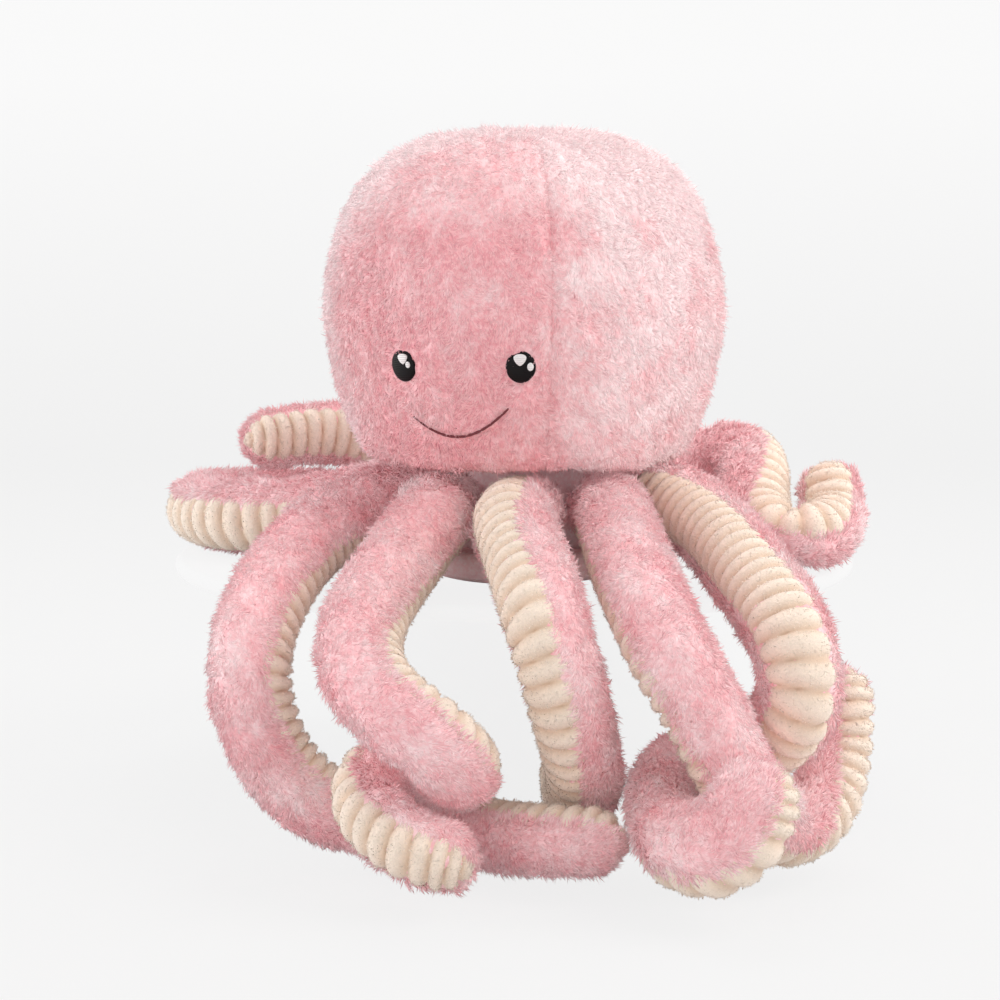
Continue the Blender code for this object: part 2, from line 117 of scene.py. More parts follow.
# Half of what the underside spans of an arm's girth
EDGE_ANGLE = math.radians(66)
ARM_TAPER_SHARES = ((0, 1.0), (0.4, 1.01), (0.75, 0.905), (1.0, 0.82))
ROLLED_TAPER_SHARES = ((0, 1.0), (0.4, 1.01), (0.83, 0.88), (0.93, 1.1), (1.0, 1.02))
ROLLED_ARM = "right_arm"
ROUTE_SHARES = {
    "left_arm": (
        (-0.82, -0.22, 0.30), (-1.03, -0.56, 0.18), (-1.16, -0.90, -0.01),
        (-1.21, -1.10, -0.22), (-1.18, -1.16, -0.46), (-1.07, -1.16, -0.70),
        (-0.86, -1.15, -0.88), (-0.58, -1.16, -0.945), (-0.32, -1.22, -0.96),
        (-0.08, -1.42, -0.94), (0.12, -1.58, -0.91), (0.28, -1.64, -0.90),
    ),
    "front_left_arm": (
        (-0.42, -0.62, 0.33), (-0.56, -0.95, 0.17), (-0.68, -1.28, 0.00),
        (-0.69, -1.56, -0.15), (-0.57, -1.76, -0.28), (-0.39, -1.84, -0.40),
        (-0.27, -1.72, -0.55), (-0.31, -1.51, -0.62), (-0.45, -1.37, -0.62),
        (-0.58, -1.39, -0.64), (-0.66, -1.50, -0.69), (-0.65, -1.64, -0.76),
        (-0.57, -1.76, -0.82), (-0.46, -1.84, -0.87), (-0.34, -1.88, -0.90),
    ),
    "front_arm": (
        (-0.05, -0.80, 0.35), (0.02, -1.22, 0.21), (0.09, -1.50, 0.03),
        (0.16, -1.58, -0.21), (0.22, -1.52, -0.46), (0.26, -1.32, -0.69),
        (0.24, -1.02, -0.86), (0.22, -0.72, -0.84),
    ),
    "front_right_arm": (
        (0.42, -0.62, 0.32), (0.46, -1.00, 0.21), (0.53, -1.38, 0.07),
        (0.62, -1.58, -0.11), (0.73, -1.66, -0.29), (0.84, -1.69, -0.50),
        (0.96, -1.62, -0.72), (1.13, -1.45, -0.90), (1.32, -1.22, -0.85),
        (1.40, -1.06, -0.65), (1.42, -1.00, -0.43),
    ),
    "right_arm": (
        (0.71, -0.13, 0.36), (0.89, -0.52, 0.26), (1.04, -1.04, 0.10),
        (1.15, -1.38, -0.08), (1.18, -1.47, -0.29), (1.12, -1.37, -0.47),
        (1.00, -1.20, -0.60), (0.86, -1.12, -0.67), (0.74, -1.14, -0.70),
        (0.65, -1.24, -0.73), (0.61, -1.40, -0.76), (0.60, -1.62, -0.80),
        (0.65, -1.88, -0.85), (0.77, -2.02, -0.83), (0.88, -2.07, -0.74),
        (0.93, -2.07, -0.63),
    ),
    "back_right_arm": (
        (0.56, 0.60, 0.35), (0.76, 0.82, 0.37), (0.99, 0.83, 0.45),
        (1.13, 0.62, 0.47), (1.15, 0.38, 0.42), (1.14, 0.20, 0.33),
        (1.15, 0.04, 0.24), (1.22, -0.08, 0.20), (1.35, -0.10, 0.19),
        (1.47, -0.01, 0.20), (1.52, 0.14, 0.25), (1.52, 0.26, 0.36),
    ),
    "back_arm": (
        (-0.04, 0.88, 0.28), (-0.06, 1.24, 0.20), (-0.36, 1.42, 0.30),
        (-0.72, 1.30, 0.50), (-1.04, 1.18, 0.56), (-1.34, 1.06, 0.54),
    ),
    "back_left_arm": (
        (-0.72, 0.48, 0.30), (-1.10, 0.44, 0.22), (-1.46, 0.52, 0.20),
        (-1.68, 0.80, 0.20), (-1.60, 1.10, 0.20), (-1.26, 1.24, 0.20),
        (-0.90, 1.12, 0.20),
    ),
}
UNDERSIDE_FACING_SHARES = {
    "left_arm": (
        (0, 0, 0, -1), (0.1, 0.34, 0, -0.94), (0.22, 0.65, 0, -0.76), (0.33, 0.88, 0, -0.48),
        (0.45, 1, 0.15, 0.05), (0.56, 0.77, 0.29, 0.57), (0.65, 0.32, 0.4, 0.86),
        (0.8, 0.2, 0.4, 0.9), (1, 0.1, 0.36, 0.92),
    ),
    "front_left_arm": (
        (0, 0, 0.1, -1), (0.2, 0.62, 0.14, -0.78), (0.31, 0.79, 0.15, -0.59),
        (0.4, 0.98, 0.2, 0), (0.48, 0.8, 0.3, 0.5), (0.55, 0.75, 0.4, 0.45),
        (0.61, 0.75, 0.65, 0.2), (0.68, 0.1, 1, 0.2), (0.75, -0.7, 0.8, 0),
        (0.82, -1, -0.3, -0.1), (0.9, -0.7, -0.9, -0.1), (1, -0.4, -1, -0.2),
    ),
    "front_arm": (
        (0, -0.7, 0, 0.7), (0.1, -0.65, -0.1, 0.75), (0.25, -0.92, -0.29, 0.25),
        (0.4, -0.87, -0.46, 0.2), (0.55, -0.8, -0.6, 0), (0.7, -0.8, -0.6, 0),
        (1, -0.9, -0.1, -0.4),
    ),
    "front_right_arm": (
        (0, -0.2, 0.1, -1), (0.1, -0.7, 0.1, -0.7), (0.2, -0.74, 0.12, -0.66),
        (0.35, -0.73, 0.2, -0.66), (0.5, -0.78, 0.33, -0.53), (0.6, -0.88, 0.3, -0.36),
        (0.68, -0.7, 0, -0.7), (0.75, 0, -0.28, -0.96), (0.85, 0.87, -0.49, -0.1),
        (1, 0.74, -0.67, 0.1),
    ),
    "right_arm": (
        (0, -0.1, -0.95, -0.3), (0.06, -0.82, -0.58, 0), (0.17, -0.73, -0.42, 0.54),
        (0.3, -0.59, -0.41, 0.69), (0.4, -0.31, -0.6, 0.73), (0.475, 0, -1, 0),
        (0.6, 0, -0.2, -1), (0.75, -0.6, 0, -0.8), (0.88, 0, -0.2, -1), (1, 0.75, -0.1, -0.6),
    ),
    "back_right_arm": (
        (0, -0.6, 0.6, -0.5), (0.15, -0.4, 0.9, -0.1), (0.28, 0, 1, 0.4),
        (0.4, 0.7, 0.7, 0.5), (0.52, 1, 0.25, 0.3), (0.64, 0.8, -0.1, 0.55),
        (0.76, 0.1, -0.2, 1), (0.88, -0.45, -0.6, 0.6), (1, -0.2, -1, 0.2),
    ),
    "back_arm": (
        (0, -0.6, 0, -0.8), (0.25, -0.9, -0.2, -0.5), (0.45, -0.5, -0.8, -0.2),
        (0.6, 0, -1, 0), (1, 0, -1, 0.2),
    ),
    "back_left_arm": (
        (0, 0.3, -0.6, -0.8), (0.25, 0, -1, -0.75), (0.45, -0.8, -0.8, -0.5),
        (0.6, -0.8, 0.6, -0.3), (0.8, 0, 1, 0), (1, 0.2, 1, 0),
    ),
}


class OctopusSizes(PropertyGroup):
    """Sizes of the cloth and thread, in metres."""

    pile_length: FloatProperty(
        name="Pile length", description="Length of the pink pile's strands", default=5.4 * MM, unit="LENGTH"
    )
    pile_width: FloatProperty(
        name="Strand width", description="Width of one lock of pile at its widest",
        default=0.36 * MM, unit="LENGTH",
    )
    pile_density: FloatProperty(
        name="Pile density", description="Locks of pile per square millimetre of cloth", default=2.0
    )
    backing_depth: FloatProperty(
        name="Backing depth", description="How far the backing cloth lies below the tips of the pile",
        default=2.2 * MM, unit="LENGTH",
    )
    rib_pitch: FloatProperty(
        name="Rib pitch", description="Distance from rib to rib along the underside",
        default=8.3 * MM, unit="LENGTH",
    )
    rib_depth: FloatProperty(
        name="Rib depth", description="Depth of the grooves between the ribs",
        default=3.4 * MM, unit="LENGTH",
    )
    eye_radius: FloatProperty(
        name="Eye radius", description="Radius of the embroidered eyes", default=6.7 * MM, unit="LENGTH"
    )
    smile_radius: FloatProperty(
        name="Smile thread", description="Radius of the thread of the smile", default=0.6 * MM, unit="LENGTH"
    )
    seed: IntProperty(name="Seed", description="Starting number for the lie of the pile", default=7)


def linear(code):
    """An sRGB hex colour as linear red, green, blue and alpha."""
    parts = [int(code[i : i + 2], 16) / 255 for i in (1, 3, 5)]
    return (*[c / 12.92 if c <= 0.04045 else ((c + 0.055) / 1.055) ** 2.4 for c in parts], 1)


def colour_setting(name, description, code):
    return FloatVectorProperty(
        name=name, description=description, size=4, subtype="COLOR", min=0, max=1, default=linear(code)
    )


class OctopusColours(PropertyGroup):
    """Dyes of the cloth and thread, with the painted light and shade of the pile and ribs."""

    # The root pink is painted shade deep in the pile; the two tip pinks are painted light and painted shade
    pile_shaded_root: colour_setting("Pile roots", "Pink deep in the pile", "#eca2a9")
    pile_lit_tip: colour_setting("Pile tips", "Pink at the tips of pile that lies with the light", "#fef3f4")
    pile_shaded_tip: colour_setting("Pile shade", "Pink at the tips of pile that lies the other way", "#fed3d6")
    rib_crown: colour_setting("Rib crowns", "Cream on top of the ribs", "#f2e2d2")
    # The groove cream is painted shade between the ribs
    rib_groove_shade: colour_setting("Rib grooves", "Cream between the ribs", "#d8b597")
    eye: colour_setting("Eye thread", "Near black of the eyes", "#0d0a0c")
    glint: colour_setting("Glint thread", "White of the glints", "#f4f2f2")
    smile: colour_setting("Smile thread", "Dark maroon of the smile", "#7a3f44")


def sizes():
    return bpy.context.scene.octopus_sizes


def colours():
    return bpy.context.scene.octopus_colours


def add_node(tree, kind, inputs=None, **settings):
    """Adds a node with its settings; an input is a value or the socket that feeds it."""
    node = tree.nodes.new(kind)
    for name, value in settings.items():
        setattr(node, name, value)
    for name, value in (inputs or {}).items():
        socket = node.inputs[name]
        if isinstance(value, bpy.types.NodeSocket):
            tree.links.new(value, socket)
        else:
            socket.default_value = value
    return node


def new_material(name):
    """A material with only its shader and output, and the shader."""
    material = bpy.data.materials.new(name)
    material.use_nodes = True
    tree = material.node_tree
    tree.nodes.clear()
    shader = add_node(tree, "ShaderNodeBsdfPrincipled")
    add_node(tree, "ShaderNodeOutputMaterial", {"Surface": shader.outputs[0]})
    return material, tree, shader


def mixed(tree, factor, first, second, blend="MIX"):
    """The colour between two others."""
    node = add_node(tree, "ShaderNodeMix", data_type="RGBA", blend_type=blend)
    for socket, value in ((node.inputs[0], factor), (node.inputs[6], first), (node.inputs[7], second)):
        if isinstance(value, bpy.types.NodeSocket):
            tree.links.new(value, socket)
        else:
            socket.default_value = value
    return node.outputs[2]


def pile_colour(tree, rise):
    """The pile's pink: painted shade at the roots and where tufts part, and painted light where the pile lies
    with the light.
    """
    c = colours()
    lie = add_node(tree, "ShaderNodeAttribute", attribute_name="lie").outputs["Fac"]
    place = add_node(tree, "ShaderNodeTexCoord").outputs["Object"]
    # Painted shade where tufts part, every 2.4 mm or so
    parting_shade = add_node(
        tree, "ShaderNodeTexNoise",
        {"Vector": place, "Scale": 1 / (2.4 * MM), "Detail": 2.0, "Roughness": 0.6},
    )
    together = add_node(
        tree, "ShaderNodeMapRange",
        {"Value": parting_shade.outputs["Fac"], "From Min": 0.38, "From Max": 0.56, "To Min": 0.0, "To Max": 1.0},
    ).outputs[0]
    rise = add_node(tree, "ShaderNodeMath", {0: rise, 1: together}, operation="MULTIPLY").outputs[0]
    # Where more painted light is laid on, the tips hide more of the painted root shade
    covered = add_node(tree, "ShaderNodeMath", {0: lie, 1: 0.6}, operation="MULTIPLY").outputs[0]
    bare = add_node(tree, "ShaderNodeMath", {0: 1.0, 1: covered}, operation="SUBTRACT").outputs[0]
    rise = add_node(
        tree, "ShaderNodeMath", {0: rise, 1: bare, 2: covered}, operation="MULTIPLY_ADD"
    ).outputs[0]
    return mixed(tree, rise, tuple(c.pile_shaded_root), mixed(tree, lie, tuple(c.pile_shaded_tip), tuple(c.pile_lit_tip)))


def polyester_pile():
    """Dyed polyester pile: matt, with painted light on the tips and painted shade at the roots."""
    material, tree, shader = new_material("dyed_pile_with_painted_light")
    height = add_node(tree, "ShaderNodeAttribute", attribute_name="pile_height").outputs["Fac"]
    strand = add_node(tree, "ShaderNodeAttribute", attribute_name="strand").outputs["Fac"]
    # Each lock took the dye and takes the light a little differently
    paler = add_node(tree, "ShaderNodeMapRange", {"Value": strand, "To Min": 0.55, "To Max": 1.0}).outputs[0]
    rise = add_node(tree, "ShaderNodeMath", {0: height, 1: paler}, operation="MULTIPLY").outputs[0]
    dyed = pile_colour(tree, rise)
    light = add_node(tree, "ShaderNodeMapRange", {"Value": strand, "To Min": 0.86, "To Max": 1.05}).outputs[0]
    each = add_node(tree, "ShaderNodeHueSaturation", {"Color": dyed, "Value": light}).outputs[0]
    tree.links.new(each, shader.inputs["Base Color"])
    shader.inputs["Roughness"].default_value = 0.9
    shader.inputs["Specular IOR Level"].default_value = 0.0
    return material


def brushed_ground():
    """Brushed polyester ground: the dense fluff at the foot of the pile, mottled like felt, in the pile's
    painted light and shade.
    """
    material, tree, shader = new_material("brushed_polyester_ground")
    place = add_node(tree, "ShaderNodeTexCoord").outputs["Object"]
    # Tufts about 1.6 mm across; the low mottles take the painted root shade
    tufts = add_node(
        tree, "ShaderNodeTexNoise",
        {"Vector": place, "Scale": 1 / (1.6 * MM), "Detail": 3.0, "Roughness": 0.65},
    )
    rise = add_node(
        tree, "ShaderNodeMapRange",
        {"Value": tufts.outputs["Fac"], "From Min": 0.3, "From Max": 0.7, "To Min": 0.05, "To Max": 0.75},
    ).outputs[0]
    tree.links.new(pile_colour(tree, rise), shader.inputs["Base Color"])
    bump = add_node(
        tree, "ShaderNodeBump", {"Height": tufts.outputs["Fac"], "Distance": 0.6 * MM, "Strength": 0.8}
    )
    tree.links.new(bump.outputs[0], shader.inputs["Normal"])
    shader.inputs["Roughness"].default_value = 0.95
    shader.inputs["Specular IOR Level"].default_value = 0.0
    return material


def ribbed_velour():
    """Cut velour sewn in ribs: a dense short nap, cream on the crowns, with painted shade in the grooves."""
    material, tree, shader = new_material("ribbed_cut_velour")
    c = colours()
    crown = add_node(tree, "ShaderNodeAttribute", attribute_name="crown").outputs["Fac"]
    place = add_node(tree, "ShaderNodeTexCoord").outputs["Object"]
    # Painted shade in the grooves, by how low each place lies between the ribs
    base = mixed(tree, crown, tuple(c.rib_groove_shade), tuple(c.rib_crown))
    # Nap about 0.9 mm across, and softer patches 7 mm across
    nap = add_node(
        tree, "ShaderNodeTexNoise",
        {"Vector": place, "Scale": 1 / (0.9 * MM), "Detail": 3.0, "Roughness": 0.7},
    )
    cloud = add_node(tree, "ShaderNodeTexNoise", {"Vector": place, "Scale": 1 / (7 * MM), "Detail": 2.0})
    grain = add_node(
        tree, "ShaderNodeMapRange",
        {"Value": nap.outputs["Fac"], "From Min": 0.3, "From Max": 0.7, "To Min": 0.91, "To Max": 1.04},
    ).outputs[0]
    patch = add_node(
        tree, "ShaderNodeMapRange",
        {"Value": cloud.outputs["Fac"], "From Min": 0.3, "From Max": 0.7, "To Min": 0.95, "To Max": 1.03},
    ).outputs[0]
    value = add_node(tree, "ShaderNodeMath", {0: grain, 1: patch}, operation="MULTIPLY").outputs[0]
    each = add_node(tree, "ShaderNodeHueSaturation", {"Color": base, "Value": value}).outputs[0]
    tree.links.new(each, shader.inputs["Base Color"])
    bump = add_node(
        tree, "ShaderNodeBump", {"Height": nap.outputs["Fac"], "Distance": 0.5 * MM, "Strength": 0.8}
    )
    tree.links.new(bump.outputs[0], shader.inputs["Normal"])
    shader.inputs["Roughness"].default_value = 0.9
    shader.inputs["Sheen Weight"].default_value = 0.4
    shader.inputs["Sheen Roughness"].default_value = 0.45
    return material


def velour_nap():
    """The velour's own short nap, standing as fuzz along the ribs."""
    material, tree, shader = new_material("cut_velour_nap")
    c = colours()
    height = add_node(tree, "ShaderNodeAttribute", attribute_name="pile_height").outputs["Fac"]
    strand = add_node(tree, "ShaderNodeAttribute", attribute_name="strand").outputs["Fac"]
    crown = add_node(tree, "ShaderNodeAttribute", attribute_name="crown").outputs["Fac"]
    # The nap's roots take the painted groove shade, and its tips are painted paler
    base = mixed(tree, crown, tuple(c.rib_groove_shade), tuple(c.rib_crown))
    pale = mixed(tree, height, base, tuple(c.rib_crown))
    light = add_node(tree, "ShaderNodeMapRange", {"Value": strand, "To Min": 0.93, "To Max": 1.05}).outputs[0]
    each = add_node(tree, "ShaderNodeHueSaturation", {"Color": pale, "Value": light}).outputs[0]
    tree.links.new(each, shader.inputs["Base Color"])
    shader.inputs["Roughness"].default_value = 0.9
    shader.inputs["Sheen Weight"].default_value = 0.3
    return material


def embroidery(name, colour, gloss):
    """Rayon thread laid side by side: soft gloss along fine ridges."""
    material, tree, shader = new_material(name)
    place = add_node(tree, "ShaderNodeTexCoord").outputs["Object"]
    # Threads 0.45 mm apart
    thread = add_node(
        tree, "ShaderNodeTexWave",
        {
            "Vector": place, "Scale": 1 / (20 * 0.45 * MM) * math.pi,
            "Distortion": 1.5, "Detail": 1.0, "Detail Scale": 2.0,
        },
        bands_direction="Z", wave_profile="SIN",
    )
    # Painted shade between the threads
    thread_gap_shade = tuple(0.7 * v for v in colour[:3]) + (1,)
    tree.links.new(mixed(tree, thread.outputs["Fac"], thread_gap_shade, tuple(colour)), shader.inputs["Base Color"])
    bump = add_node(
        tree, "ShaderNodeBump", {"Height": thread.outputs["Fac"], "Distance": 0.15 * MM, "Strength": 0.6}
    )
    tree.links.new(bump.outputs[0], shader.inputs["Normal"])
    shader.inputs["Roughness"].default_value = gloss
    shader.inputs["Specular IOR Level"].default_value = 0.15
    return material


def material_named(name, make, *details):
    """The material of that name, made once."""
    return bpy.data.materials.get(name) or make(*details)


def unit(vectors):
    return vectors / np.maximum(np.linalg.norm(vectors, axis=-1, keepdims=True), 1e-12)


def waves(places, size, seed):
    """A smooth random vector at each place that changes over this size."""
    rng = np.random.default_rng(seed)
    count = 10
    ways = unit(rng.normal(size=(count, 3))) * rng.uniform(0.6, 1.6, (count, 1)) * 2 * math.pi / size
    starts = rng.uniform(0, 2 * math.pi, (count, 3))
    along = places @ ways.T
    return np.stack([np.sin(along + starts[:, k]).sum(1) for k in range(3)], 1) / math.sqrt(count / 2)


def mesh_piece(name, shells, materials):
    """One piece from shells of (places, faces, material, attributes).

    An attribute named map gives the flat map's places, by point or by corner of each face.
    """
    mesh = bpy.data.meshes.new(name)
    places, loops, starts, slots, flat = [], [], [], [], []
    values = {}
    base = 0
    corner = 0
    for points, faces, slot, extras in shells:
        points = np.asarray(points, np.float32).reshape(-1, 3)
        faces = np.asarray(faces)
        places.append(points)
        loops.append((faces + base).ravel())
        width = faces.shape[1]
        starts.append(corner + np.arange(len(faces)) * width)
        corner += len(faces) * width
        slots.append(np.full(len(faces), slot))
        chart = extras.get("map", np.zeros((len(points), 2)))
        flat.append((chart[faces] if chart.ndim == 2 else chart).reshape(-1, 2))
        for key in ("pile_height", "strand", "crown", "lie"):
            value = np.asarray(extras.get(key, 0.0), np.float32).ravel()
            values.setdefault(key, []).append(np.broadcast_to(value, len(points)))
        base += len(points)
    places, loops = np.concatenate(places), np.concatenate(loops)
    starts, slots = np.concatenate(starts), np.concatenate(slots)
    mesh.vertices.add(len(places))
    mesh.vertices.foreach_set("co", places.ravel())
    mesh.loops.add(len(loops))
    mesh.loops.foreach_set("vertex_index", loops.astype(np.int32))
    mesh.polygons.add(len(starts))
    mesh.polygons.foreach_set("loop_start", starts.astype(np.int32))
    mesh.polygons.foreach_set("material_index", slots.astype(np.int32))
    mesh.update(calc_edges=True)
    mesh.validate()
    mesh.shade_smooth()
    for key, parts in values.items():
        mesh.attributes.new(key, "FLOAT", "POINT").data.foreach_set("value", np.concatenate(parts))
    if any("map" in extras for *_, extras in shells):
        flat = np.concatenate(flat).astype(np.float32)
        mesh.uv_layers.new(name=FLAT_MAP).uv.foreach_set("vector", flat.ravel())
    for material in materials:
        mesh.materials.append(material)
    piece = bpy.data.objects.new(name, mesh)
    bpy.context.scene.collection.objects.link(piece)
    return piece


def grid_faces(rows, columns, closed):
    """Quads over a grid of points, closed round its columns or not."""
    r, c = np.meshgrid(np.arange(rows - 1), np.arange(columns if closed else columns - 1), indexing="ij")
    after = (c + 1) % columns
    near, far = r * columns, (r + 1) * columns
    return np.stack([near + c, near + after, far + after, far + c], -1).reshape(-1, 4)


def triangles(quads):
    return np.vstack([quads[:, [0, 1, 2]], quads[:, [0, 2, 3]]])


def sheet_edge(rows, columns):
    """Quads that close the edge between a sheet's outer skin and the lining numbered after it."""
    count = rows * columns
    ring = np.concatenate([
        np.arange(columns), np.arange(1, rows) * columns + columns - 1,
        (rows - 1) * columns + np.arange(columns - 2, -1, -1), np.arange(rows - 2, 0, -1) * columns,
    ])
    after = np.roll(ring, -1)
    return np.stack([ring, ring + count, after + count, after], 1)


def end_fans(rows, columns):
    """Triangles that close a tube's ends onto the two points numbered after it."""
    count = rows * columns
    ring = np.arange(columns)
    after = (ring + 1) % columns
    return np.vstack([
        np.stack([np.full(columns, count), after, ring], 1),
        np.stack([np.full(columns, count + 1), count - columns + ring, count - columns + after], 1),
    ])


def grid_chart(faces, rows, columns, low, high):
    """Where each corner of a grid's quads lies on the flat map, between these two corners of it."""
    row, column = faces // columns, faces % columns
    wraps = (column == 0) & (column.max(1, keepdims=True) == columns - 1)
    column = np.where(wraps, column + columns, column)
    share = np.stack([row / (rows - 1), column / columns], -1)
    return np.array(low) + share * (np.array(high) - np.array(low))


def strands(roots, outward, comb, lengths, width, lean, splay, seed, crown=0.0, lie=0.0):
    """Tapered locks of pile: each a slim closed spike that leans along the comb and droops at its tip."""
    rng = np.random.default_rng(seed)
    count = len(roots)
    stray = rng.normal(size=(count, 3)) * splay
    comb = unit(comb - outward * (comb * outward).sum(1, keepdims=True))
    rise = lean + 0.22 * rng.normal(size=(count, 1))
    first = unit(outward * np.cos(rise) + comb * np.sin(rise) + stray)
    rise = rise + 0.35
    second = unit(outward * np.cos(rise) + comb * np.sin(rise) + stray * 1.3)
    beside = unit(np.cross(outward, first))
    roll = rng.normal(size=(count, 1)) * 0.4
    flat = unit(beside * np.cos(roll) + np.cross(first, beside) * np.sin(roll))
    flat *= np.where((np.cross(flat, first) * outward).sum(1, keepdims=True) < 0, -1, 1)
    lengths = lengths[:, None]
    middle = roots + first * lengths * 0.5
    tip = middle + second * lengths * 0.5
    half = flat * width * 0.5 * rng.uniform(0.7, 1.3, (count, 1))
    foot = roots - first * lengths * 0.06
    half *= np.where(((tip - foot) * np.cross(half, first)).sum(1, keepdims=True) > 0, -1, 1)
    places = np.stack([foot, middle - half, middle + half, tip], 1)
    start = np.arange(count)[:, None] * 4
    sides = ([0, 2, 1], [1, 2, 3], [0, 1, 3], [0, 3, 2])
    faces = np.stack([start + corners for corners in sides], 1).reshape(-1, 3)
    heights = np.broadcast_to(np.array([0.0, 0.55, 0.55, 1.0]), (count, 4))
    each = np.repeat(rng.uniform(0, 1, count), 4)
    extras = {"pile_height": heights, "strand": each}
    extras["crown"] = np.repeat(np.broadcast_to(crown, count), 4)
    extras["lie"] = np.repeat(np.broadcast_to(lie, count), 4)
    # On the flat map a lock lies by its colour: along by its shade, up by its height
    shade = np.repeat(np.broadcast_to(np.maximum(crown, lie), count), 4) * 0.96
    shade = shade + np.tile([0, -0.015, 0.015, 0], count) + 0.02
    extras["map"] = np.stack([shade, 0.66 + 0.33 * heights.ravel()], 1)
    return places, faces, extras


def lay_pile(name, locks, material):
    """The loose pile over a cloth; light comes through such fluff, so the cloth alone keeps light off."""
    places, faces, extras = locks
    pile = mesh_piece(name, [(places, faces, 0, extras)], [material])
    pile.visible_shadow = False
    pile.visible_diffuse = False
    return pile


def tufted(places):
    """How far the brushed ground rises and falls as it gathers in tufts."""
    return 0.42 * MM * waves(places, 5.5 * MM, 41)[:, 0] + 0.40 * MM * waves(places, 15 * MM, 42)[:, 0]


def head_bias(turn, height):
    """How the light finds the head's pile, round from the front and up to the crown."""
    degrees = np.degrees(np.mod(turn - FACE_TURN + 1.5 * math.pi, 2 * math.pi) - math.pi)
    table = np.array(HEAD_PAINTED_LIGHT_SHARES)
    crown = np.interp(height, [0.75 * HEAD_HEIGHT, 0.97 * HEAD_HEIGHT], [0, 1])
    return np.interp(degrees, table[:, 0], table[:, 1]) + HEAD_TOP_PAINTED_LIGHT * crown


def painted_light_patches(places, bias):
    """Share of painted light on each place's pile: the given level, with random patches the size of a
    stroking hand.
    """
    broad, fine = waves(places, 32 * MM, 43)[:, 0], waves(places, 8 * MM, 44)[:, 0]
    return (bias + 0.13 * broad + 0.11 * fine).clip(0, 1)


# Head


def smooth_through(points, steps):
    """A smooth curve from the second point to the last but one, with this many steps between each two."""
    t = (np.arange(steps) / steps)[:, None]
    runs = []
    for a, b, c, d in zip(points, points[1:], points[2:], points[3:]):
        square, cube = 2 * a - 5 * b + 4 * c - d, 3 * b - a - 3 * c + d
        runs.append(0.5 * (2 * b + (c - a) * t + square * t**2 + cube * t**3))
    return np.vstack([*runs, points[-2:-1]])


def smoothed(values, width):
    """The values, each averaged with its neighbours over this many places."""
    kernel = np.hanning(width + 2)[1:-1]
    padded = np.concatenate([np.repeat(values[:1], width), values, np.repeat(values[-1:], width)])
    return np.convolve(padded, kernel / kernel.sum(), "same")[width:-width]


def head_outline():
    """Radius and height from crown to underside, every few millimetres."""
    shares = np.array(HEAD_PROFILE_SHARES)
    padded = np.vstack([2 * shares[0] - shares[1], shares, 2 * shares[-1] - shares[-2]])
    curve = smooth_through(padded, HEAD_STEPS)
    curve[:, 0] = np.maximum(curve[:, 0], 0)
    return curve * [HEAD_RADIUS, HEAD_HEIGHT]


def head_radius(height):
    """Radius of the head at a height between its widest place and a little above its underside."""
    curve = head_outline()
    side = curve[: curve[:, 0].argmax() + 3 * HEAD_STEPS][::-1]
    return float(np.interp(height, side[:, 1], side[:, 0]))


def head_surface(at, turn, depth):
    """Places on the head and the way that they face; at counts the outline's points, depth goes in."""
    curve = head_outline()
    tangent = unit(np.gradient(curve, axis=0))
    index = np.arange(len(curve))
    radius, height = np.interp(at, index, curve[:, 0]), np.interp(at, index, curve[:, 1])
    tr, tz = np.interp(at, index, tangent[:, 0]), np.interp(at, index, tangent[:, 1])
    out_r, out_z = -tz, tr
    length = np.maximum(np.hypot(out_r, out_z), 1e-9)
    out_r, out_z = out_r / length, out_z / length
    # The panels belly a little between their seams, which draw in
    sector = 2 * math.pi / len(GORE_NAMES)
    from_middle = np.mod(turn - FACE_TURN + math.pi / 2 + sector / 2, sector) - sector / 2
    to_seam = (sector / 2 - np.abs(from_middle)) * radius
    crease = 2.0 * MM * np.exp(-((to_seam / (2.5 * MM)) ** 2))
    hollow = 0.8 * MM * np.exp(-((to_seam / (12 * MM)) ** 2))
    depth = depth + crease + hollow
    r = radius - out_r * depth
    places = np.stack([r * np.cos(turn), r * np.sin(turn), height - out_z * depth], -1)
    outward = np.stack([out_r * np.cos(turn), out_r * np.sin(turn), out_z], -1)
    down = np.stack([tr * np.cos(turn), tr * np.sin(turn), tz], -1)
    return places, unit(outward), unit(down)


def face_spots():
    """Middles of the eyes on the outer surface, with the way each faces, across and up."""
    spots = {}
    for side, (angle, height) in EYE_PLACES.items():
        turn = FACE_TURN + angle - math.pi / 2
        radius = head_radius(height)
        slope = math.atan2(head_radius(height + 8 * MM) - head_radius(height - 8 * MM), 16 * MM)
        out = np.array((math.cos(turn) * math.cos(slope), math.sin(turn) * math.cos(slope), -math.sin(slope)))
        across = np.array((-math.sin(turn), math.cos(turn), 0))
        place = np.array((radius * math.cos(turn), radius * math.sin(turn), height))
        spots[side] = place, out, across, np.cross(out, across)
    return spots


def smile_line(count, lift):
    """Points along the smile, this far out from the head's outline."""
    across = np.linspace(-1, 1, count)
    turn = FACE_TURN + SMILE_OFFSET_ANGLE + across * SMILE_HALF_ANGLE - math.pi / 2
    height = SMILE_HEIGHT - SMILE_HALF_HEIGHT + 2 * SMILE_HALF_HEIGHT * across**2 + SMILE_LEAN * across
    radius = np.array([head_radius(h) for h in height]) + lift
    return np.stack([radius * np.cos(turn), radius * np.sin(turn), height], 1)


def panel_chart(faces, rim, rows, columns):
    """The flat map of a panel's outer skin, reversed as it is laid, then of its lining and its edge."""
    outer = grid_chart(faces, rows, columns, (0, 0), (1, 0.62))
    lining = grid_chart(faces, rows, columns, (0, 0.63), (0.4, 0.65))
    edge = np.tile([[0.5, 0.63], [0.5, 0.65], [0.6, 0.65], [0.6, 0.63]], (len(rim), 1, 1))
    return np.concatenate([outer[:, ::-1], lining, edge])


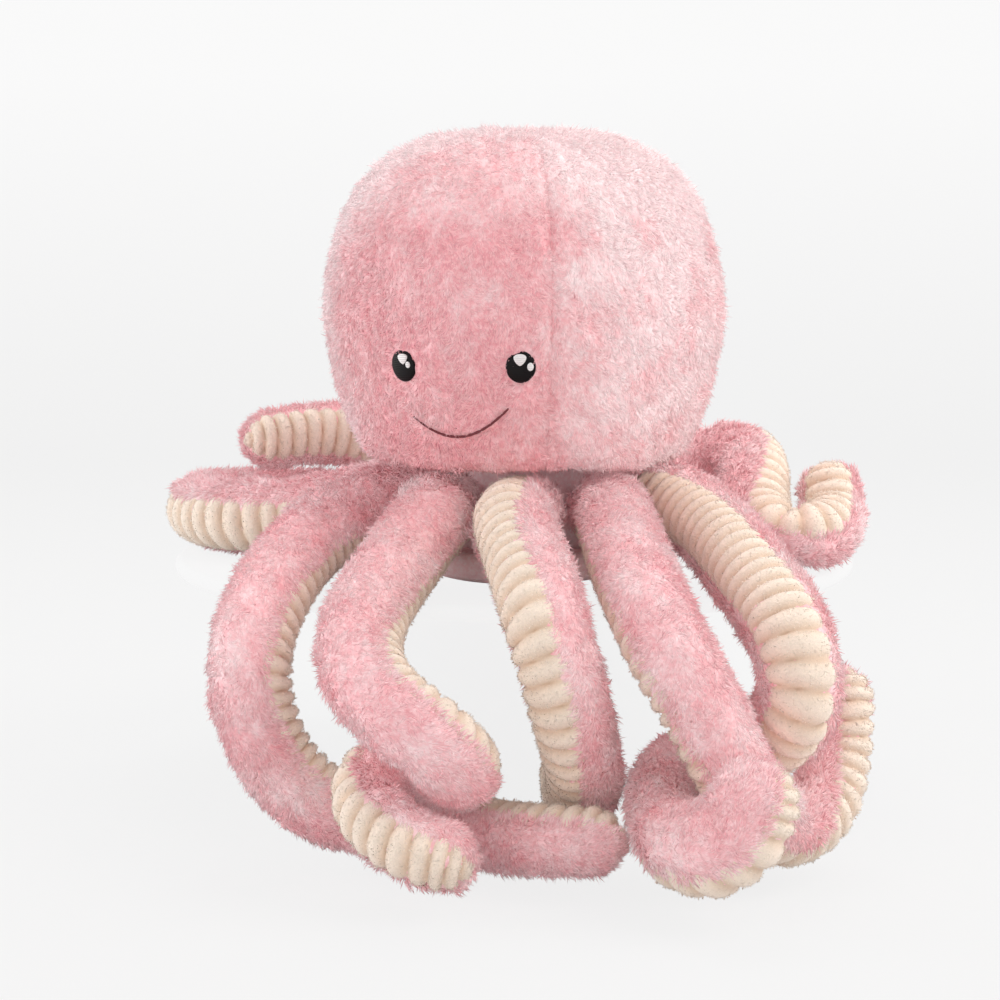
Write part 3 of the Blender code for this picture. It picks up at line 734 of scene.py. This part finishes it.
def make_gore(name, number):
    """One panel of the head: its backing cloth, closed round the edge, and the pile over it."""
    s = sizes()
    rng = np.random.default_rng(s.seed * 100 + number)
    sector = 2 * math.pi / len(GORE_NAMES)
    start = FACE_TURN - math.pi / 2 + (number - 0.5) * sector
    last = len(head_outline()) - 1
    depth = s.backing_depth
    # Backing cloth: an outer and an inner skin
    rows, columns = 2 * last + 1, 61
    down_line, round_line = np.linspace(0.3, last, rows), np.linspace(start, start + sector, columns)
    at, turn = np.meshgrid(down_line, round_line, indexing="ij")
    plain, _, _ = head_surface(at.ravel(), turn.ravel(), depth)
    outer, _, _ = head_surface(at.ravel(), turn.ravel(), depth - tufted(plain))
    # Painted light and shade on the backing, by side and height
    lie = painted_light_patches(plain, head_bias(turn.ravel(), plain[:, 2]))
    inner, _, _ = head_surface(at.ravel(), turn.ravel(), depth + 2.5 * MM)
    faces = grid_faces(rows, columns, False)
    rim = sheet_edge(rows, columns)
    cloth = np.vstack([outer, inner])
    shell = np.vstack([faces[:, ::-1], faces + rows * columns, rim[:, ::-1]])
    # Pile over the outer skin
    curve = head_outline()
    run = np.linalg.norm(np.diff(curve, axis=0), axis=1)
    weight = run * (curve[1:, 0] + curve[:-1, 0]) / 2
    area = weight.sum() * sector
    count = int(area * s.pile_density / MM**2)
    at = rng.choice(len(weight), count, p=weight / weight.sum()) + rng.uniform(0, 1, count)
    turn = start + rng.uniform(0, 1, count) * sector
    plain, outward, down = head_surface(at, turn, depth)
    roots, _, _ = head_surface(at, turn, depth - tufted(plain))
    # Painted light and shade on the pile, as on its backing
    hair_lie = painted_light_patches(plain, head_bias(turn, plain[:, 2]))
    around = np.cross(outward, down)
    sway = waves(roots, 26 * MM, 11)
    curl = waves(roots, 8 * MM, 12)
    # Pile lies down and away from the middle of the front, and is shorter on the face
    front = np.cos(turn - FACE_TURN - math.radians(20) + math.pi / 2)
    sideways = 0.5 * np.sin(turn - FACE_TURN + math.pi / 2)
    comb = down * 0.8 + around * sideways[:, None] + sway * 0.4 + curl * 0.25
    spread = 0.85 + 0.12 * curl[:, 0] + 0.1 * sway[:, 1] + 0.15 * rng.normal(size=count)
    lengths = s.pile_length * spread.clip(0.45, 1.25) * (1 - 0.15 * front.clip(0, 1))
    keep = np.ones(count, bool)
    for place, out, *_ in face_spots().values():
        gap = np.linalg.norm((roots - place) - ((roots - place) @ out)[:, None] * out, axis=1)
        near = (roots - place) @ out > -20 * MM
        keep &= ~(near & (gap < s.eye_radius - 0.9 * MM))
        shorter = np.interp(gap, [s.eye_radius, s.eye_radius + 7 * MM], [0.35, 1.0])
        lengths = np.where(near, lengths * shorter, lengths)
        # Hair next to an eye is pushed away from it
        away = unit((roots - place) - ((roots - place) @ out)[:, None] * out)
        push = np.where(near, np.interp(gap, [s.eye_radius, s.eye_radius + 6 * MM], [0.5, 0]), 0)
        comb = comb + away * push[:, None]
    line = smile_line(60, -depth)
    gap = np.sqrt(((roots[:, None] - line[None]) ** 2).sum(2)).min(1) if number == 0 else np.full(count, 1.0)
    keep &= gap > 0.75 * MM
    lengths = lengths * np.interp(gap, [0, 5 * MM], [0.35, 1.0])
    piece = mesh_piece(
        f"head_gore_{name}_plush",
        [(cloth, shell, 0, {"lie": np.tile(lie, 2), "map": panel_chart(faces, rim, rows, columns)})],
        [material_named("brushed_polyester_ground", brushed_ground)],
    )
    pile = lay_pile(f"head_gore_{name}_pile", strands(
        roots[keep], outward[keep], comb[keep], lengths[keep], s.pile_width, HEAD_PILE_LEAN, PILE_SPLAY,
        s.seed + number, lie=hair_lie[keep],
    ), material_named("dyed_pile_with_painted_light", polyester_pile))
    for part in (piece, pile):
        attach(part, "head")
        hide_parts(f"head_gore_{name}")


# Arms


def arm_route(name):
    """Fine places, headings, lengths, radii and underside directions along an arm's axis."""
    index = ARM_ORDER.index(name)
    turn = FACE_TURN + math.radians(22.5) + index * math.radians(45) - math.pi / 2
    root = np.array((ROOT_RING_RADIUS * math.cos(turn), ROOT_RING_RADIUS * math.sin(turn), ROOT_HEIGHT))
    route = np.array(ROUTE_SHARES[name]) * ARM_REACH
    outward = np.array((math.cos(turn), math.sin(turn), 0))
    lead = route[0] - 2 * outward * np.linalg.norm(route[0] - root)
    fine = smooth_through(np.vstack([lead, root, route, 2 * route[-1] - route[-2]]), 24)
    along = np.concatenate([[0], np.cumsum(np.linalg.norm(np.diff(fine, axis=0), axis=1))])
    length = along[-1]
    at = np.linspace(0, length, int(length / (1.0 * MM)) + 1)
    places = np.stack([np.interp(at, along, fine[:, k]) for k in range(3)], 1)
    headings = unit(np.gradient(places, axis=0))
    headings = unit(np.stack([smoothed(headings[:, k], 9) for k in range(3)], 1))
    taper = np.array(ROLLED_TAPER_SHARES if name == ROLLED_ARM else ARM_TAPER_SHARES)
    radii = ARM_ROOT_RADIUS * np.interp(at / length, taper[:, 0], taper[:, 1])
    # Cloth pinches where the arm bends tightly, measured over 8 mm each way
    reach = 8
    ahead = headings[np.minimum(np.arange(len(at)) + reach, len(at) - 1)]
    behind = headings[np.maximum(np.arange(len(at)) - reach, 0)]
    bend = np.arccos((ahead * behind).sum(1).clip(-1, 1)) / (2 * reach * MM)
    radii = smoothed(np.minimum(radii, PINCH_SHARE / np.maximum(bend, 1e-3)), 13)
    table = np.array(UNDERSIDE_FACING_SHARES[name], float)
    down = np.stack([np.interp(at / length, table[:, 0], table[:, k]) for k in (1, 2, 3)], 1)
    down = unit(down - headings * (down * headings).sum(1, keepdims=True))
    return at, places, headings, radii, down


def arm_surface(route, along, turn, depth):
    """Places on an arm, the way that they face and the way to the tip.

    along is in metres, and runs past both ends over the rounded caps; turn goes round from the
    middle of the underside, and depth goes in.
    """
    at, places, headings, radii, down = route
    inside = along.clip(0, at[-1])

    def read(table):
        if table.ndim == 1:
            return np.interp(inside, at, table)
        return np.stack([np.interp(inside, at, table[:, k]) for k in range(3)], -1)

    radius = read(radii)
    heading = unit(read(headings))
    lower = read(down)
    lower = unit(lower - heading * (lower * heading).sum(-1, keepdims=True))
    beside = np.cross(heading, lower)
    cap = ((along - inside) / radius).clip(-math.pi / 2, math.pi / 2)
    radial = lower * np.cos(turn)[..., None] + beside * np.sin(turn)[..., None]
    outward = heading * np.sin(cap)[..., None] + radial * np.cos(cap)[..., None]
    toward = heading * np.cos(cap)[..., None] - radial * np.sin(cap)[..., None]
    return read(places) + outward * (radius - depth)[..., None], outward, toward


def make_cover(name):
    """An arm's pink panel: the cloth all round the arm, and the pile on the side that shows."""
    s = sizes()
    index = ARM_ORDER.index(name)
    rng = np.random.default_rng(s.seed * 200 + index)
    route = arm_route(name)
    length = route[0][-1]
    root_cap = route[3][0] * math.pi / 2
    tip_cap = route[3][-1] * math.pi / 2
    rows = int((length + root_cap + tip_cap) / (1.8 * MM))
    columns = 64
    along = np.linspace(-root_cap * 0.97, length + tip_cap * 0.97, rows)
    turn = np.linspace(0, 2 * math.pi, columns, endpoint=False)
    along, turn = np.meshgrid(along, turn, indexing="ij")
    from_middle = np.abs(np.mod(turn + math.pi, 2 * math.pi) - math.pi)
    # The cloth lies deeper under the ribs
    sunk = np.interp(from_middle, [0, EDGE_ANGLE, EDGE_ANGLE + 0.25], [2 * MM, 1.5 * MM, 0])
    depth = s.backing_depth + sunk
    plain, _, _ = arm_surface(route, along.ravel(), turn.ravel(), depth.ravel())
    places, _, _ = arm_surface(route, along.ravel(), turn.ravel(), depth.ravel() - tufted(plain))
    # Painted light on the arm's cloth and pile, in random patches
    lie = painted_light_patches(plain, ARM_PAINTED_LIGHT)
    faces = grid_faces(rows, columns, True)
    ends = np.vstack([places[:columns].mean(0), places[-columns:].mean(0)])
    caps = end_fans(rows, columns)
    cloth = np.vstack([places, ends])
    round_cloth = grid_chart(faces, rows, columns, (0, 0), (1, 0.62))[:, ::-1]
    ends_chart = np.tile([[0.5, 0.63], [0.5, 0.65], [0.6, 0.65]], (len(caps), 1, 1))
    chart = np.concatenate([round_cloth[:, [0, 1, 2]], round_cloth[:, [0, 2, 3]], ends_chart])
    # Pile on the pink side
    area = (length + root_cap * 0.3 + tip_cap) * route[3].mean() * (2 * math.pi - 2 * EDGE_ANGLE)
    tries = int(area * s.pile_density / MM**2 * 1.02)
    along = rng.uniform(-root_cap * 0.3, length + tip_cap, tries)
    turn = rng.uniform(EDGE_ANGLE - 0.02, 2 * math.pi - EDGE_ANGLE + 0.02, tries)
    past = np.maximum(along - length, 0) / route[3][-1]
    keep = rng.uniform(0, 1, tries) < np.cos(past)
    along, turn = along[keep], turn[keep]
    plain, outward, toward = arm_surface(route, along, turn, np.full(len(along), s.backing_depth))
    roots, _, _ = arm_surface(route, along, turn, s.backing_depth - tufted(plain))
    around = np.cross(outward, toward)
    sway = waves(roots, 24 * MM, 21)
    curl = waves(roots, 8 * MM, 22)
    # Beside the seams the pile is longer and falls over the edge of the ribs
    from_seam = (math.pi - np.abs(turn - math.pi) - EDGE_ANGLE) * route[3].mean()
    fall = np.exp(-((from_seam / (5 * MM)) ** 2))
    side = np.sign(math.pi - turn)
    sideways = 0.25 * np.sin(turn) + 1.3 * fall * side
    comb = toward * 0.8 + sway * 0.4 + curl * 0.3 + around * sideways[:, None]
    spread = 0.82 + 0.08 * curl[:, 0] + 0.08 * sway[:, 1] + 0.13 * rng.normal(size=len(along)) + 0.15 * fall
    lengths = s.pile_length * spread.clip(0.4, 1.1)
    skin = np.vstack([triangles(faces[:, ::-1]), caps[:, ::-1]])
    piece = mesh_piece(
        f"{name}_cover_plush", [(cloth, skin, 0, {"lie": np.append(lie, [ARM_PAINTED_LIGHT, ARM_PAINTED_LIGHT]), "map": chart})],
        [material_named("brushed_polyester_ground", brushed_ground)],
    )
    pile = lay_pile(f"{name}_cover_pile", strands(
        roots, outward, comb, lengths, s.pile_width, ARM_PILE_LEAN, PILE_SPLAY,
        s.seed + 50 + index, lie=painted_light_patches(plain, ARM_PAINTED_LIGHT),
    ), material_named("dyed_pile_with_painted_light", polyester_pile))
    for part in (piece, pile):
        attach(part, name)
        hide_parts(f"{name}_cover", f"{name}_filling")


def make_underside(name):
    """The cream panel: puffed ribs across the arm with scalloped ends, and a short nap."""
    s = sizes()
    index = ARM_ORDER.index(name)
    rng = np.random.default_rng(s.seed * 300 + index)
    route = arm_route(name)
    length = route[0][-1]
    tip_cap = route[3][-1] * math.pi / 2
    root_cap = route[3][0] * 0.5
    steps = 8
    rows = int((length + tip_cap * 0.93 + root_cap) / s.rib_pitch * steps)
    columns = 25
    along_line = np.linspace(-root_cap, length + tip_cap * 0.93, rows)
    across_line = np.linspace(-1, 1, columns)
    along, across = np.meshgrid(along_line, across_line, indexing="ij")

    def ribbed(along, across, drop):
        wander = 0.10 * np.sin(across * 2.1 + along / (31 * MM)) + 0.06 * np.sin(along / (13 * MM) + index)
        phase = along / s.rib_pitch + wander + index * 0.3
        crown = np.abs(np.sin(math.pi * phase)) ** 0.55
        edge = EDGE_ANGLE * (0.985 + 0.075 * crown)
        turn = across * edge
        fall = np.abs(across) ** 5
        depth = 0.8 * MM + s.rib_depth * (1 - crown) * (1 - 0.4 * fall) + 2.6 * MM * fall + drop
        places, outward, toward = arm_surface(route, along, turn, depth)
        return places, outward, toward, crown

    outer, _, _, crown = ribbed(along.ravel(), across.ravel(), 0.0)
    lining = np.full(along.size, s.backing_depth + 3.2 * MM)
    inner, _, _ = arm_surface(route, along.ravel(), across.ravel() * EDGE_ANGLE * 0.96, lining)
    count = rows * columns
    faces = grid_faces(rows, columns, False)
    rim = sheet_edge(rows, columns)
    shell = np.vstack([faces, faces[:, ::-1] + count, rim])
    chart = panel_chart(faces[:, ::-1], rim, rows, columns)
    crowns = np.concatenate([crown, np.zeros(count)])
    # Nap
    area = (length + tip_cap) * route[3].mean() * 2 * EDGE_ANGLE
    tries = int(area * 1.1 / MM**2)
    at = rng.uniform(0, length + tip_cap * 0.93, tries)
    side = rng.uniform(-1.02, 1.02, tries)
    roots, outward, toward, high = ribbed(at, side, 0.0)
    curl = waves(roots, 5 * MM, 31)
    nap = 1.5 * MM * (0.8 + 0.25 * rng.normal(size=tries)).clip(0.4, 1.2)
    proud = high > 0.55
    piece = mesh_piece(
        f"{name}_underside_ribs",
        [(np.vstack([outer, inner]), shell, 0, {"crown": crowns, "map": chart})],
        [material_named("ribbed_cut_velour", ribbed_velour)],
    )
    fuzz = lay_pile(f"{name}_underside_nap", strands(
        roots[proud], outward[proud], (toward * 0.3 + curl)[proud], nap[proud], 0.45 * MM,
        NAP_LEAN, NAP_SPLAY, s.seed + 80 + index, crown=high[proud],
    ), material_named("cut_velour_nap", velour_nap))
    for part in (piece, fuzz):
        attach(part, name)
        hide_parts(f"{name}_underside")


# Small pieces


def turned(outline, columns, wobble=0.0):
    """Places and faces of an outline of (radius, height) turned about Z, its ends closed."""
    outline = np.array(outline, float)
    turn = np.linspace(0, 2 * math.pi, columns, endpoint=False)
    r = outline[:, 0][:, None] * (1 + wobble * np.sin(turn * 8)[None])
    places = np.stack([r * np.cos(turn), r * np.sin(turn), np.repeat(outline[:, 1][:, None], columns, 1)], -1)
    places = places.reshape(-1, 3)
    faces = triangles(grid_faces(len(outline), columns, True))
    ends = np.array([[0, 0, outline[0, 1]], [0, 0, outline[-1, 1]]])
    return np.vstack([places, ends]), np.vstack([faces, end_fans(len(outline), columns)])


def make_hub():
    """The gathered plush between the head and the base, which the arms are sewn round."""
    hub = ROOT_RING_RADIUS - ARM_ROOT_RADIUS
    top, foot = 0.262 * HEAD_HEIGHT - 1 * MM, BASE_PANEL_THICKNESS
    outline = [
        (hub * 1.02, top), (hub * 0.97, (top * 3 + foot) / 4),
        (hub * 0.94, (top + foot) / 2), (hub, foot),
    ]
    places, faces = turned(outline, 64, 0.02)
    # Painted paler, against the shade under the head
    piece = mesh_piece(
        "head_hub_plush", [(places, faces, 0, {"lie": HUB_PAINTED_LIGHT})],
        [material_named("brushed_polyester_ground", brushed_ground)],
    )
    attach(piece, "head")
    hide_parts("head_filling")


def make_base_panel():
    """The flat panel that the toy sits on, its edge rolled into the seam."""
    rim, thick = BASE_PANEL_RADIUS, BASE_PANEL_THICKNESS
    curve = 5 * MM
    corner = [math.radians(a) for a in (90, 60, 30, 0)]
    outline = [(rim - curve + curve * math.cos(a), thick - curve + curve * math.sin(a)) for a in corner]
    outline += [(rim - curve + curve * math.cos(a), curve - curve * math.sin(a)) for a in corner[::-1]]
    outline += [(rim * 0.6, 0), (rim * 0.3, 0)]
    places, faces = turned(outline, 72)
    # Painted paler, against the shade under the head
    piece = mesh_piece(
        "base_panel_cloth", [(places, faces, 0, {"lie": HUB_PAINTED_LIGHT})],
        [material_named("brushed_polyester_ground", brushed_ground)],
    )
    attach(piece, "head")
    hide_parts("base_panel")


def patch(name, spot, outline, lift, swell, material, node, slot):
    """A padded patch of stitches: an outline on the face's plane, domed and closed behind."""
    place, out, across, up = spot
    outline = np.array(outline)
    rings = (1.0, 0.97, 0.85, 0.65, 0.4, 0.15)
    middle = outline.mean(0)
    rows = []
    for share in rings:
        flat = middle + (outline - middle) * share
        rise = lift + swell * math.sqrt(max(0.0, 1 - share**2.5))
        # The patch wraps round the head
        wrap = -(flat[:, 0] ** 2) / (2 * HEAD_RADIUS)
        rows.append(place + flat[:, :1] * across + flat[:, 1:] * up + (rise + wrap)[:, None] * out)
    rows.insert(0, rows[0] - out * 2.2 * MM)
    columns = len(outline)
    places = np.vstack([*rows, rows[0].mean(0), rows[-1].mean(0)])
    faces = np.vstack([triangles(grid_faces(len(rows), columns, True)), end_fans(len(rows), columns)])
    piece = mesh_piece(name, [(places, faces, 0, {})], [material])
    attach(piece, "head")
    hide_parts(node)
    return piece


def ellipse(width, height, across=0.0, up=0.0, count=40):
    turn = np.linspace(0, 2 * math.pi, count, endpoint=False)
    return np.stack([across + width * np.cos(turn), up + height * np.sin(turn)], 1)


def shield(size, across, up, count=40):
    """A patch with a flat top and a pointed foot."""
    turn = np.linspace(0, 2 * math.pi, count, endpoint=False)
    x, y = np.cos(turn), np.sin(turn)
    tall = np.where(y > 0, y * 0.62, y * (1.0 + 0.25 * (1 - np.abs(x))))
    return np.stack([across + size * x * (1 + 0.12 * y), up + size * tall], 1)


class OCTOPUS_OT_head(Operator):
    """Sews the head's six plush panels"""

    bl_idname = "octopus.head"
    bl_label = "Head panels"

    def execute(self, context):
        for number, name in enumerate(GORE_NAMES):
            make_gore(name, number)
        make_hub()
        return {"FINISHED"}


class OCTOPUS_OT_base(Operator):
    """Adds the flat base panel"""

    bl_idname = "octopus.base"
    bl_label = "Base panel"

    def execute(self, context):
        make_base_panel()
        return {"FINISHED"}


class OCTOPUS_OT_face(Operator):
    """Embroiders the eyes and the smile"""

    bl_idname = "octopus.face"
    bl_label = "Face"

    def execute(self, context):
        s, c = sizes(), colours()

        def thread(name, colour, gloss):
            return material_named(name, embroidery, name, colour, gloss)

        black = thread("satin_stitch_black_rayon", c.eye, 0.38)
        white = thread("satin_stitch_white_rayon", c.glint, 0.45)
        maroon = thread("laid_maroon_rayon", c.smile, 0.55)
        r = s.eye_radius
        for side, spot in face_spots().items():
            patch(
                f"{side}_eye_satin", spot, ellipse(r, EYE_STRETCH * r), -2.2 * MM, 1.3 * MM,
                black, f"{side}_eye", "black_thread",
            )
            size, across, up = (share * r for share in GLINT_SHARES[side]["large_glint"])
            patch(
                f"{side}_eye_large_glint_satin", spot, shield(size, across, up), -0.9 * MM, 0.5 * MM,
                white, f"{side}_eye_large_glint", "white_thread",
            )
            size, across, up = (share * r for share in GLINT_SHARES[side]["small_glint"])
            patch(
                f"{side}_eye_small_glint_satin", spot, ellipse(0.9 * size, 1.15 * size, across, up, 24),
                -1.1 * MM, 0.5 * MM,
                white, f"{side}_eye_small_glint", "white_thread",
            )
        line = smile_line(72, -1.0 * MM)
        curve = bpy.data.curves.new("smile_thread", "CURVE")
        curve.dimensions = "3D"
        curve.bevel_depth = s.smile_radius
        curve.bevel_resolution = 2
        curve.use_fill_caps = True
        spline = curve.splines.new("POLY")
        spline.points.add(len(line) - 1)
        spline.points.foreach_set("co", np.hstack([line, np.ones((len(line), 1))]).ravel())
        # The thread swells between its stitches and thins at the ends
        share = np.linspace(0, 1, len(line))
        bead = 0.85 + 0.2 * np.abs(np.sin(14 * math.pi * share))
        bead = bead * np.interp(share, [0, 0.3, 0.85, 1], [0.65, 1, 1, 0.8])
        spline.points.foreach_set("radius", bead.astype(np.float32))
        curve.materials.append(maroon)
        smile = bpy.data.objects.new("smile_thread", curve)
        context.scene.collection.objects.link(smile)
        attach(smile, "head")
        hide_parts("smile_stitch")
        return {"FINISHED"}


class OCTOPUS_OT_arms(Operator):
    """Sews the eight arms: plush covers and ribbed undersides"""

    bl_idname = "octopus.arms"
    bl_label = "Arms"

    def execute(self, context):
        for name in ARM_ORDER:
            make_cover(name)
            make_underside(name)
        return {"FINISHED"}


def area_lamp(name, place, target, size, power, colour="#ffffff"):
    lamp = bpy.data.lights.new(name, "AREA")
    lamp.shape = "DISK"
    lamp.size = size
    lamp.energy = power
    lamp.color = linear(colour)[:3]
    obj = bpy.data.objects.new(name, lamp)
    obj.location = place
    obj.visible_camera = False
    way = np.array(target) - np.array(place)
    obj.rotation_euler = (
        math.atan2(math.hypot(way[0], way[1]), -way[2]), 0, math.atan2(way[1], way[0]) - math.pi / 2
    )
    bpy.context.scene.collection.objects.link(obj)


class OCTOPUS_OT_stage(Operator):
    """Sets the camera, the soft lamps, the pale floor and the low shelf that the toy sits on"""

    bl_idname = "octopus.stage"
    bl_label = "Stage"

    def execute(self, context):
        scene = context.scene
        scene.view_settings.view_transform = "Standard"
        camera = bpy.data.objects.new("camera", bpy.data.cameras.new("camera"))
        camera.data.lens = 85
        camera.data.sensor_width = 36
        away, above = 1.136, 0.180
        camera.location = (0, -away, above)
        camera.rotation_euler = (math.radians(90) - math.atan2(above, away), 0, 0)
        camera.data.shift_x = -0.024
        camera.data.shift_y = 0.071
        scene.collection.objects.link(camera)
        scene.camera = camera

        world = bpy.data.worlds.new("pale_studio")
        world.use_nodes = True
        tree = world.node_tree
        tree.nodes.clear()
        path = add_node(tree, "ShaderNodeLightPath")
        seen = path.outputs["Is Camera Ray"]
        for ray in ("Is Glossy Ray", "Is Transmission Ray"):
            either = add_node(tree, "ShaderNodeMath", {0: seen, 1: path.outputs[ray]}, operation="MAXIMUM")
            seen = either.outputs[0]
        soft = add_node(tree, "ShaderNodeBackground", {"Color": linear("#fdfbfa"), "Strength": 0.6})
        plain = add_node(tree, "ShaderNodeBackground", {"Color": linear("#fafafa"), "Strength": 1.0})
        both = add_node(tree, "ShaderNodeMixShader", {0: seen, 1: soft.outputs[0], 2: plain.outputs[0]})
        add_node(tree, "ShaderNodeOutputWorld", {"Surface": both.outputs[0]})
        scene.world = world

        area_lamp("key_upper_right", (0.95, -0.35, 0.95), (0, 0, 0.08), 1.0, 9.5, "#fffaf6")
        area_lamp("fill_front_left", (-0.7, -1.35, 0.15), (0, 0, 0.03), 1.2, 5.5, "#fdfcfc")
        area_lamp("side_left", (-1.25, 0.05, 0.4), (0, 0, 0.06), 1.0, 8.0, "#ffffff")
        area_lamp("side_right", (1.25, 0.15, 0.35), (0, 0, 0.06), 1.0, 5.0, "#ffffff")
        area_lamp("top_rear", (0.1, 0.55, 1.3), (0, 0, 0.1), 1.0, 8.0, "#ffffff")

        floor_height = -0.117
        white, tree, shader = new_material("matt_paper_backdrop")
        # Paper: barely mottled, so that the shadow reads evenly
        place = add_node(tree, "ShaderNodeTexCoord").outputs["Object"]
        pulp = add_node(tree, "ShaderNodeTexNoise", {"Vector": place, "Scale": 1 / (60 * MM), "Detail": 2.0})
        shader.inputs["Roughness"].default_value = 0.95
        paper = mixed(tree, pulp.outputs["Fac"], linear("#dcdbdb"), linear("#dfdfdf"))
        tree.links.new(paper, shader.inputs["Base Color"])
        seen = add_node(tree, "ShaderNodeLightPath").outputs["Is Camera Ray"]
        # Painted light: the sweep glows paler up the wall and darker towards the floor
        height = add_node(tree, "ShaderNodeSeparateXYZ", {"Vector": place}).outputs["Z"]
        rise = {"Value": height, "From Min": floor_height, "From Max": 0.35}
        up = add_node(tree, "ShaderNodeMapRange", rise).outputs[0]
        pale = mixed(tree, up, linear("#f5f5f5"), linear("#ffffff"))
        glow = add_node(tree, "ShaderNodeEmission", {"Color": pale, "Strength": 1.0})
        share = add_node(tree, "ShaderNodeMath", {0: seen, 1: 0.9}, operation="MULTIPLY").outputs[0]
        both = add_node(tree, "ShaderNodeMixShader", {0: share, 1: shader.outputs[0], 2: glow.outputs[0]})
        output = next(n for n in tree.nodes if n.bl_idname == "ShaderNodeOutputMaterial")
        tree.links.new(both.outputs[0], output.inputs["Surface"])

        reach, depth, bend = 6.0, 1.5, 1.0
        profile = [(-reach, floor_height), (depth, floor_height)]
        for a in np.linspace(0, math.pi / 2, 13)[1:]:
            profile.append((depth + bend * math.sin(a), floor_height + bend - bend * math.cos(a)))
        profile += [(depth + bend, floor_height + reach)]
        places = np.array([(x, y, z) for y, z in profile for x in (-reach, reach)])
        sweep = mesh_piece("floor_sweep", [(places, grid_faces(len(profile), 2, False), 0, {})], [white])

        round_edge = [math.radians(a) for a in (90, 60, 30, 0, -30, -60, -90)]
        top, edge, wide = -0.0004, 4 * MM, 170 * MM
        outline = [(wide + edge * math.cos(a), top - edge + edge * math.sin(a)) for a in round_edge]
        outline += [(80 * MM, top - 2 * edge), (80 * MM, floor_height)]
        places, faces = turned(outline, 128)
        places = places + np.array((-5 * MM, 75 * MM, 0))
        shelf = mesh_piece("low_shelf", [(places, faces, 0, {})], [white])
        return {"FINISHED"}


class OCTOPUS_PT_panel(Panel):
    """Lists what the toy is made of"""

    bl_label = "Plush octopus"
    bl_idname = "OCTOPUS_PT_panel"
    bl_space_type = "VIEW_3D"
    bl_region_type = "UI"
    bl_category = "Octopus"

    def draw(self, context):
        for group in (context.scene.octopus_sizes, context.scene.octopus_colours):
            box = self.layout.box()
            for name in group.bl_rna.properties.keys():
                if name not in ("rna_type", "name"):
                    box.prop(group, name)
        for operator in OPERATORS:
            self.layout.operator(operator.bl_idname)


OPERATORS = (OCTOPUS_OT_stage, OCTOPUS_OT_head, OCTOPUS_OT_base, OCTOPUS_OT_face, OCTOPUS_OT_arms)
CLASSES = (OctopusSizes, OctopusColours, *OPERATORS, OCTOPUS_PT_panel)


def register():
    for cls in CLASSES:
        bpy.utils.register_class(cls)
    bpy.types.Scene.octopus_sizes = PointerProperty(type=OctopusSizes)
    bpy.types.Scene.octopus_colours = PointerProperty(type=OctopusColours)


def unregister():
    del bpy.types.Scene.octopus_colours
    del bpy.types.Scene.octopus_sizes
    for cls in reversed(CLASSES):
        bpy.utils.unregister_class(cls)


def main():
    register()
    bpy.ops.octopus.stage()
    bpy.ops.octopus.head()
    bpy.ops.octopus.base()
    bpy.ops.octopus.face()
    bpy.ops.octopus.arms()


if __name__ == "__main__":
    main()
